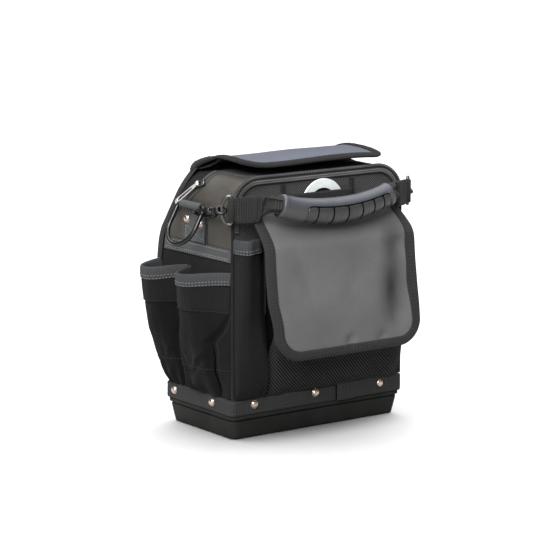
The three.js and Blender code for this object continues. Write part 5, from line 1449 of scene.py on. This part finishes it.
SMALL = np.array([-137.5, -79.5, 293.5])
SMALL_HALF, SMALL_DEEP = 17.5, 12.0
small_dir = unit([-0.75, 0.66, 0])
sm_at = lambda h, k: SMALL + np.array([0, 0, h]) + small_dir * k
path = [sm_at(h, 0) for h in np.linspace(-SMALL_HALF + 2.5, SMALL_HALF - 2.5, 20)]
path += [sm_at(SMALL_HALF - 2.5 * (1 - math.sin(a)), 2.5 * (1 - math.cos(a))) for a in np.linspace(0, PI / 2, 7)[1:]]
path += [sm_at(SMALL_HALF * math.cos(a), 2.5 + (SMALL_DEEP - 2.5) * math.sin(a)) for a in np.linspace(0, PI, 34)[1:]]
path += [sm_at(-SMALL_HALF + 2.5 * (1 - math.sin(a)), 2.5 * (1 - math.cos(a))) for a in np.linspace(PI / 2, 0, 7)[1:-1]]
pair("strap_ring", "small_ring", loft_arrays(tube_rings(path, 2.0, 16, closed=True, up=np.cross(small_dir, [0, 0, 1.0])), closed=True), M["gunmetal"], "hardware_black")

HOOK_O = np.array([-148.4, -57, 290.1])
hook_a = unit([0.03, 0.985, -0.17])
hook_g = unit(d_out - hook_a * d_out.dot(hook_a))
hook_n = unit(np.cross(hook_a, hook_g))
hk = lambda s, q, n=0.0: HOOK_O + hook_a * s + hook_g * q + hook_n * n
HOOK_PATH = [(-2, -1), (2.5, -4), (8, -8.5), (15, -11.2), (23, -11.8), (31.5, -10.6), (37.6, -6.4), (40, -0.5), (38.6, 4.2), (33.4, 6.2)]
tip = SMALL + small_dir * SMALL_DEEP
eye_mid = np.array([tip[0], tip[1] + 0.9, SMALL[2] + 0.2])
a = 2 * PI * np.arange(36) / 36
eye_n = unit([-0.42, -0.52, 0.75])
eye_b = unit(np.array([0, 1.0, 0]) - eye_n * eye_n[1])
eye_c = np.cross(eye_n, eye_b)
eye = loft_arrays(tube_rings(eye_mid + 5.6 * (np.cos(a)[:, None] * eye_b + np.sin(a)[:, None] * eye_c), 2.0, 14, closed=True, up=eye_n), closed=True)
p0, p1 = eye_mid + np.array([0, 4.7, 0]), hk(0.5, 0)
barrel = rod_arrays(p0, p1, [(0, 0.1), (0.001, 3.6), (0.06, 4.8), (0.12, 5.3), (0.26, 5.3), (0.31, 4.0), (0.4, 4.0), (0.44, 5.6), (0.5, 6.0), (0.84, 6.0), (0.93, 5.2), (1.0, 3.4), (1.001, 0.1)], 30)
hp = dense([hk(s, q) for s, q in HOOK_PATH], 80)
rad = 2.7 - 0.4 * step(0.8, 1, np.linspace(0, 1, 80)) + 0.25 * bump(np.linspace(0, 1, 80), 0.12, 0.08)
rad[-3:] *= np.array([0.93, 0.8, 0.5])
bow = loft_arrays(tube_rings(hp, rad, 16, up=hook_n))


def slab(outline, n0, n1, at, cut=0.25):
    """Flat plate with eased edges; outline rows are (s, q)."""
    o = np.asarray(outline, float)
    c = o.mean(0)
    ease = c + (o - c) * (1 - cut / np.linalg.norm(o - c, axis=1, keepdims=True))
    ring = lambda q, n: np.array([at(s, w, n) for s, w in q])
    return loft_arrays([ring(ease, n0), ring(o, n0 + cut), ring(o, n1 - cut), ring(ease, n1)])


EAR = [(-3, 1), (0, 0.8), (1.5, 1), (3.6, 3), (5, 5), (5.3, 6.4), (4.7, 7.6), (3.4, 8.0), (2.2, 7.8), (0.2, 6.2), (-2, 4), (-2.9, 2.4)]
ears = [slab(EAR, o - 0.6, o + 0.6, hk) for o in (-2.6, 2.6)]
pin = rod_arrays(hk(3.5, 6, -3.4), hk(3.5, 6, 3.4), [(0, 0.05), (0.001, 0.9), (0.05, 1.2), (0.1, 0.7), (0.9, 0.7), (0.95, 1.2), (0.999, 0.9), (1, 0.05)], 14)
pair("snap_hook", "hook", join_arrays([eye, barrel, bow, *ears, pin]), M["black_metal"], "hardware_black")
GATE = [(5.0, 4.9), (29.4, 4.9), (30.2, 5.4), (30.2, 6.8), (29.4, 7.3), (5.0, 7.3), (3.4, 7.6), (2.9, 6.6), (3.4, 5.2)]
gate = join_arrays([sleeve_arrays(hk(3.5, 6, -1.6), hk(3.5, 6, 1.6), 1.1, 2.1), slab([(s, q) for s, q in GATE if s >= 5], -1.6, 1.6, hk, 0.35)])
pair("hook_gate", "gate", gate, M["black_metal"], "hardware_black", ("gate_left", "gate_right"))

# ----------------------------------------------------------------------- handle
k = np.arange(6)
rings = []
for f_ in np.linspace(0, 5, 60):
    x, yy, z, h, t, lean = (float(smooth(k, STRAP[c], f_)) for c in ("x", "y", "z", "h", "t", "lean"))
    e = 0.15
    dx = float(smooth(k, STRAP["x"], min(f_ + e, 5)) - smooth(k, STRAP["x"], max(f_ - e, 0)))
    dy = float(smooth(k, STRAP["y"], min(f_ + e, 5)) - smooth(k, STRAP["y"], max(f_ - e, 0)))
    turn = float(step(4.3, 5, f_))
    al = unit(np.array([dx, dy, 0]) / math.hypot(dx, dy) * (1 - turn) + np.array([0.998, -0.06, 0]) * turn)
    ac = np.array([-al[1], al[0], 0])
    a = 2 * PI * np.arange(56) / 56
    c, s = np.cos(a), np.sin(a)
    gather = float(step(2.2, 3.4, f_))
    drawn = float(step(2.2, 3.4, f_))
    z += 0.1 * h * drawn * float(step(5.0, 4.2, f_))
    h *= 1 - 0.24 * drawn
    rise = h / 2 * np.sign(s) * np.abs(s) ** (0.45 + 0.25 * gather)
    folds = 1 + gather * 0.24 * np.sin(5 * a + 0.9 * f_) - gather * 0.22 * bump(s, 0.15 + 0.1 * math.sin(f_), 0.16) * (c < 0)
    thick = t / 2 * np.sign(c) * np.abs(c) ** 0.5 * folds
    dip = 0.5 * np.array([noise.noise(Vector((x / 11, q / 9, 2.0))) for q in rise]) - (c < 0) * (-4.2 * step(2.72, 2.84, f_ - 0.3 * s) * float(step(4.7, 3.4, f_)) * (0.75 + 0.25 * np.sin(7 * s + 3 * f_)) - 1.3 * bump(f_, 2.4 + 0.3 * s, 0.2) + 1.2 * bump(f_, 1.2 - 0.5 * s, 0.2) * step(-0.4, 0.7, s))
    p = np.array([x, yy, z]) + ac * (thick + dip)[:, None] + np.column_stack([lean * rise, 0 * rise, rise])
    rings.append(p)
strap = loft_arrays(rings)
eye = sleeve_arrays(SMALL - np.array([0, 0, 14.4]), SMALL + np.array([0, 0, 14.4]), 2.4, 4.6, 28)
strap_piece = pair("strap_web", "strap", join_arrays([strap, eye]), M["web_across"], "webbing_black", smooth_angle=55)
S = np.array(rings)
for mir, sgn_ in ((lambda q: q, 1), (mirror, -1)):
    for r in (6, 10, 24):
        m = S[r]
        front = m[np.argsort(m[:, 2])]
        front = np.array([q for q in front if (q - m.mean(0)) @ np.array([-0.5, -0.86, 0]) > 0.6])
        if len(front) > 5:
            thread["thread_dark"].append(stitch_arrays(mir(front), mir(np.tile([-0.5, -0.86, 0.0], (len(front), 1))), 2.8, 1.4, 0.8, 0.35))

GROOVES = [-35.8, -12.8, 10.3, 32.6, 51.5, 67.3]
PANEL = (-51.0, 79.0)
EDGES = [PANEL[0] + 1] + GROOVES + [PANEL[1] - 1]
a = 2 * PI * np.arange(88) / 88
rings = []
for f_ in np.concatenate([[-1.0, -0.998, -0.993, -0.985], np.linspace(-0.975, 0.975, 330), [0.985, 0.993, 0.998, 1.0]]):
    x = 85.6 * f_
    p = np.array([x, -110 + 2.6 * f_**2, 284.6 + 13.5 * f_**2])
    al = unit([85.6, 5.2 * f_, 27 * f_])
    up = unit(np.array([0, 0, 1]) - al * al[2])
    side = np.cross(al, up)
    r = 16.2 * (0.94 + 0.06 * math.cos(PI * f_)) + 0.5 * float(bump(abs(f_), 0.95, 0.03))
    cap = {1.0: 0.86, 0.998: 0.93, 0.993: 0.965, 0.985: 0.99}.get(round(abs(f_), 3), 1.0)
    deg = np.degrees(a)
    # inset grip panel on the front and underside, rounded at its ends
    hi = 63 + 12 * max(0, 1 - (x - PANEL[0]) / 9) ** 2 + 12 * max(0, 1 - (PANEL[1] - x) / 9) ** 2
    inside = min(x - PANEL[0], PANEL[1] - x)
    dist = np.minimum(np.minimum((deg - hi), 212 - deg) * r * PI / 180, inside)
    m = step(-0.5, 0.9, dist)
    i = int(np.clip(np.searchsorted(EDGES, x) - 1, 0, len(EDGES) - 2))
    fr = float(np.clip((x - EDGES[i]) / (EDGES[i + 1] - EDGES[i]), 0, 1))
    rib = 1.5 * math.sin(PI * fr) ** 0.4 - 0.45 * math.exp(-((fr - 0.42) / 0.035) ** 2)
    off = m * (-1.9 + rib) - 1.3 * np.exp(-((dist + 0.1) / 1.1) ** 2)
    rr = (r + off) * cap
    rings.append(p + up * (rr * 1.04 * np.cos(a))[:, None] + side * (rr * 0.92 * np.sin(a))[:, None])
v, f, uv = loft_arrays(rings)
ob = mesh_object("hand_grip", v, f, M["grip"], uv, smooth_angle=60, slot="grip_rubber")
# the front and underside faces take the darker copies of the rubber: painted shade under the grip
ob.data.materials.append(M["grip_panel"])
ob.data.materials.append(M["grip_side"])
for poly in ob.data.polygons:
    c = np.array(poly.center) / MM
    f_ = c[0] / 85.6
    c = c - np.array([c[0], -110 + 2.6 * f_**2, 284.6 + 13.5 * f_**2])
    turn = math.degrees(math.atan2(-c[1] / 0.92, c[2] / 1.04)) % 360
    if 64 < turn < 212:
        poly.material_index = 1 if PANEL[0] < f_ * 85.6 < PANEL[1] else 2
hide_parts("grip")

# painted shade: very dark tubes in the bottoms of the panel's grooves and along its top edge, standing in for the shade
# there
lines = []
for x in GROOVES:
    f_ = x / 85.6
    p = np.array([x, -110 + 2.6 * f_**2, 284.6 + 13.5 * f_**2])
    al = unit([85.6, 5.2 * f_, 27 * f_])
    up = unit(np.array([0, 0, 1]) - al * al[2])
    side = np.cross(al, up)
    r = 16.2 * (0.94 + 0.06 * math.cos(PI * f_)) - 1.75
    q = np.radians(np.linspace(66, 208, 40))
    path = p + up * (r * 1.04 * np.cos(q))[:, None] + side * (r * 0.92 * np.sin(q))[:, None]
    lines.append(loft_arrays(tube_rings(path, 1.1, 8, up=al)))
edge = []
for x in np.linspace(PANEL[0] + 2.5, PANEL[1] - 2.5, 90):
    f_ = x / 85.6
    al = unit([85.6, 5.2 * f_, 27 * f_])
    up = unit(np.array([0, 0, 1]) - al * al[2])
    r = 16.2 * (0.94 + 0.06 * math.cos(PI * f_)) - 1.05
    q = math.radians(63 + 12 * max(0, 1 - (x - PANEL[0]) / 9) ** 2 + 12 * max(0, 1 - (PANEL[1] - x) / 9) ** 2)
    edge.append(np.array([x, -110 + 2.6 * f_**2, 284.6 + 13.5 * f_**2]) + up * r * 1.04 * math.cos(q) + np.cross(al, up) * r * 0.92 * math.sin(q))
lines.append(loft_arrays(tube_rings(np.array(edge), 0.75, 8, up=(0, 0, 1))))
v, f, uv = join_arrays(lines)
mesh_object("hand_grip_groove_shade", v, f, M["lining"], uv, slot="grip_rubber")

# --------------------------------------------------------------- zip slider, pull
PIN, END = np.array([-131.5, 4, 316]), np.array([-136.4, 47, 287])
pd = unit(END - PIN)
px = unit(np.cross(pd, unit([-0.93, 0, 0.36])))
pu = unit(np.cross(px, pd))
pl = lambda kk, h, o: PIN + pd * kk + px * h + pu * o
foot_line = [(-9, -2.6), (-7.6, -4.2), (-1, -4.2), (0.5, -3.4), (4, -3.4), (5, -2), (5, 2), (4, 3.4), (0.5, 3.4), (-1, 4.2), (-7.6, 4.2), (-9, 2.6)]
foot = slab(foot_line, -6.4, -3.6, pl, 0.5)
ear_line = [(-2.4, -4), (0, -4), (2.4, -4), (2.2, -1.4), (1.5, 0.9), (0.6, 1.6), (-0.6, 1.6), (-1.5, 0.9), (-2.2, -1.4)]
ear_at = lambda kk, o, h: pl(kk, h, o)
ears = [slab(ear_line, h0, h0 + 1.3, ear_at, 0.2) for h0 in (-4.2, 2.9)]
pin = rod_arrays(pl(0, -4.4, 0), pl(0, 4.4, 0), [(0, 0.05), (0.001, 0.8), (0.03, 1.2), (0.07, 0.8), (0.93, 0.8), (0.97, 1.2), (0.999, 0.8), (1, 0.05)], 14)
v, f, uv = join_arrays([foot, *ears, pin])
ob = mesh_object("zip_slider_body", v, f, M["gunmetal"], uv, slot="zip_metal")
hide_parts("zip_slider")


def even_loop(pts, n):
    p = np.vstack([pts, pts[:1]])
    s = np.concatenate([[0], np.cumsum(np.linalg.norm(np.diff(p, axis=0), axis=1))])
    t = np.linspace(0, s[-1], n, endpoint=False)
    return np.column_stack([np.interp(t, s, p[:, 0]), np.interp(t, s, p[:, 1])])


outline = even_loop(np.array([(1.7, 0), (1.7, -2), (8, -2.8), (26, -3.2), (44, -3.6), (48, -3.3), (50, -2.6), (51.1, -1.4), (51.5, 0), (51.1, 1.4), (50, 2.6), (48, 3.3), (44, 3.6), (26, 3.2), (8, 2.8), (1.7, 2)]), 120)
slot = even_loop(np.array([(11.4, 0), (12, -1.2), (27, -1.5), (42, -1.8), (44.4, -1.2), (45, 0), (44.4, 1.2), (42, 1.8), (27, 1.5), (12, 1.2)]), 120)
shrink = lambda loop, d: loop.mean(0) + (loop - loop.mean(0)) * np.array([1 - d / 24, 1 - d / 3.2])
ring = lambda loop, o: np.array([pl(kk, h, o) for kk, h in loop])
leaf = loft_arrays([ring(shrink(outline, 0.35), -0.8), ring(outline, -0.4), ring(outline, 0.4), ring(shrink(outline, 0.35), 0.8),
                    ring(shrink(slot, -0.3), 0.8), ring(slot, 0.5), ring(slot, -0.5), ring(shrink(slot, -0.3), -0.8)], closed=True)
eye = sleeve_arrays(pl(0, -2.4, 0), pl(0, 2.4, 0), 1.2, 2.2)
v, f, uv = join_arrays([leaf, eye])
ob = mesh_object("zip_pull_leaf", v, f, M["silver"], uv, body="zip_pull", slot="zip_metal")
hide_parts("zip_pull")

# ------------------------------------------------------------------- the stitches
for name, parts in thread.items():
    v, f, uv = join_arrays([q for q in parts if len(q[0])])
    mesh_object("stitches_" + name[7:], v, f, M[name], uv, smooth_angle=70)
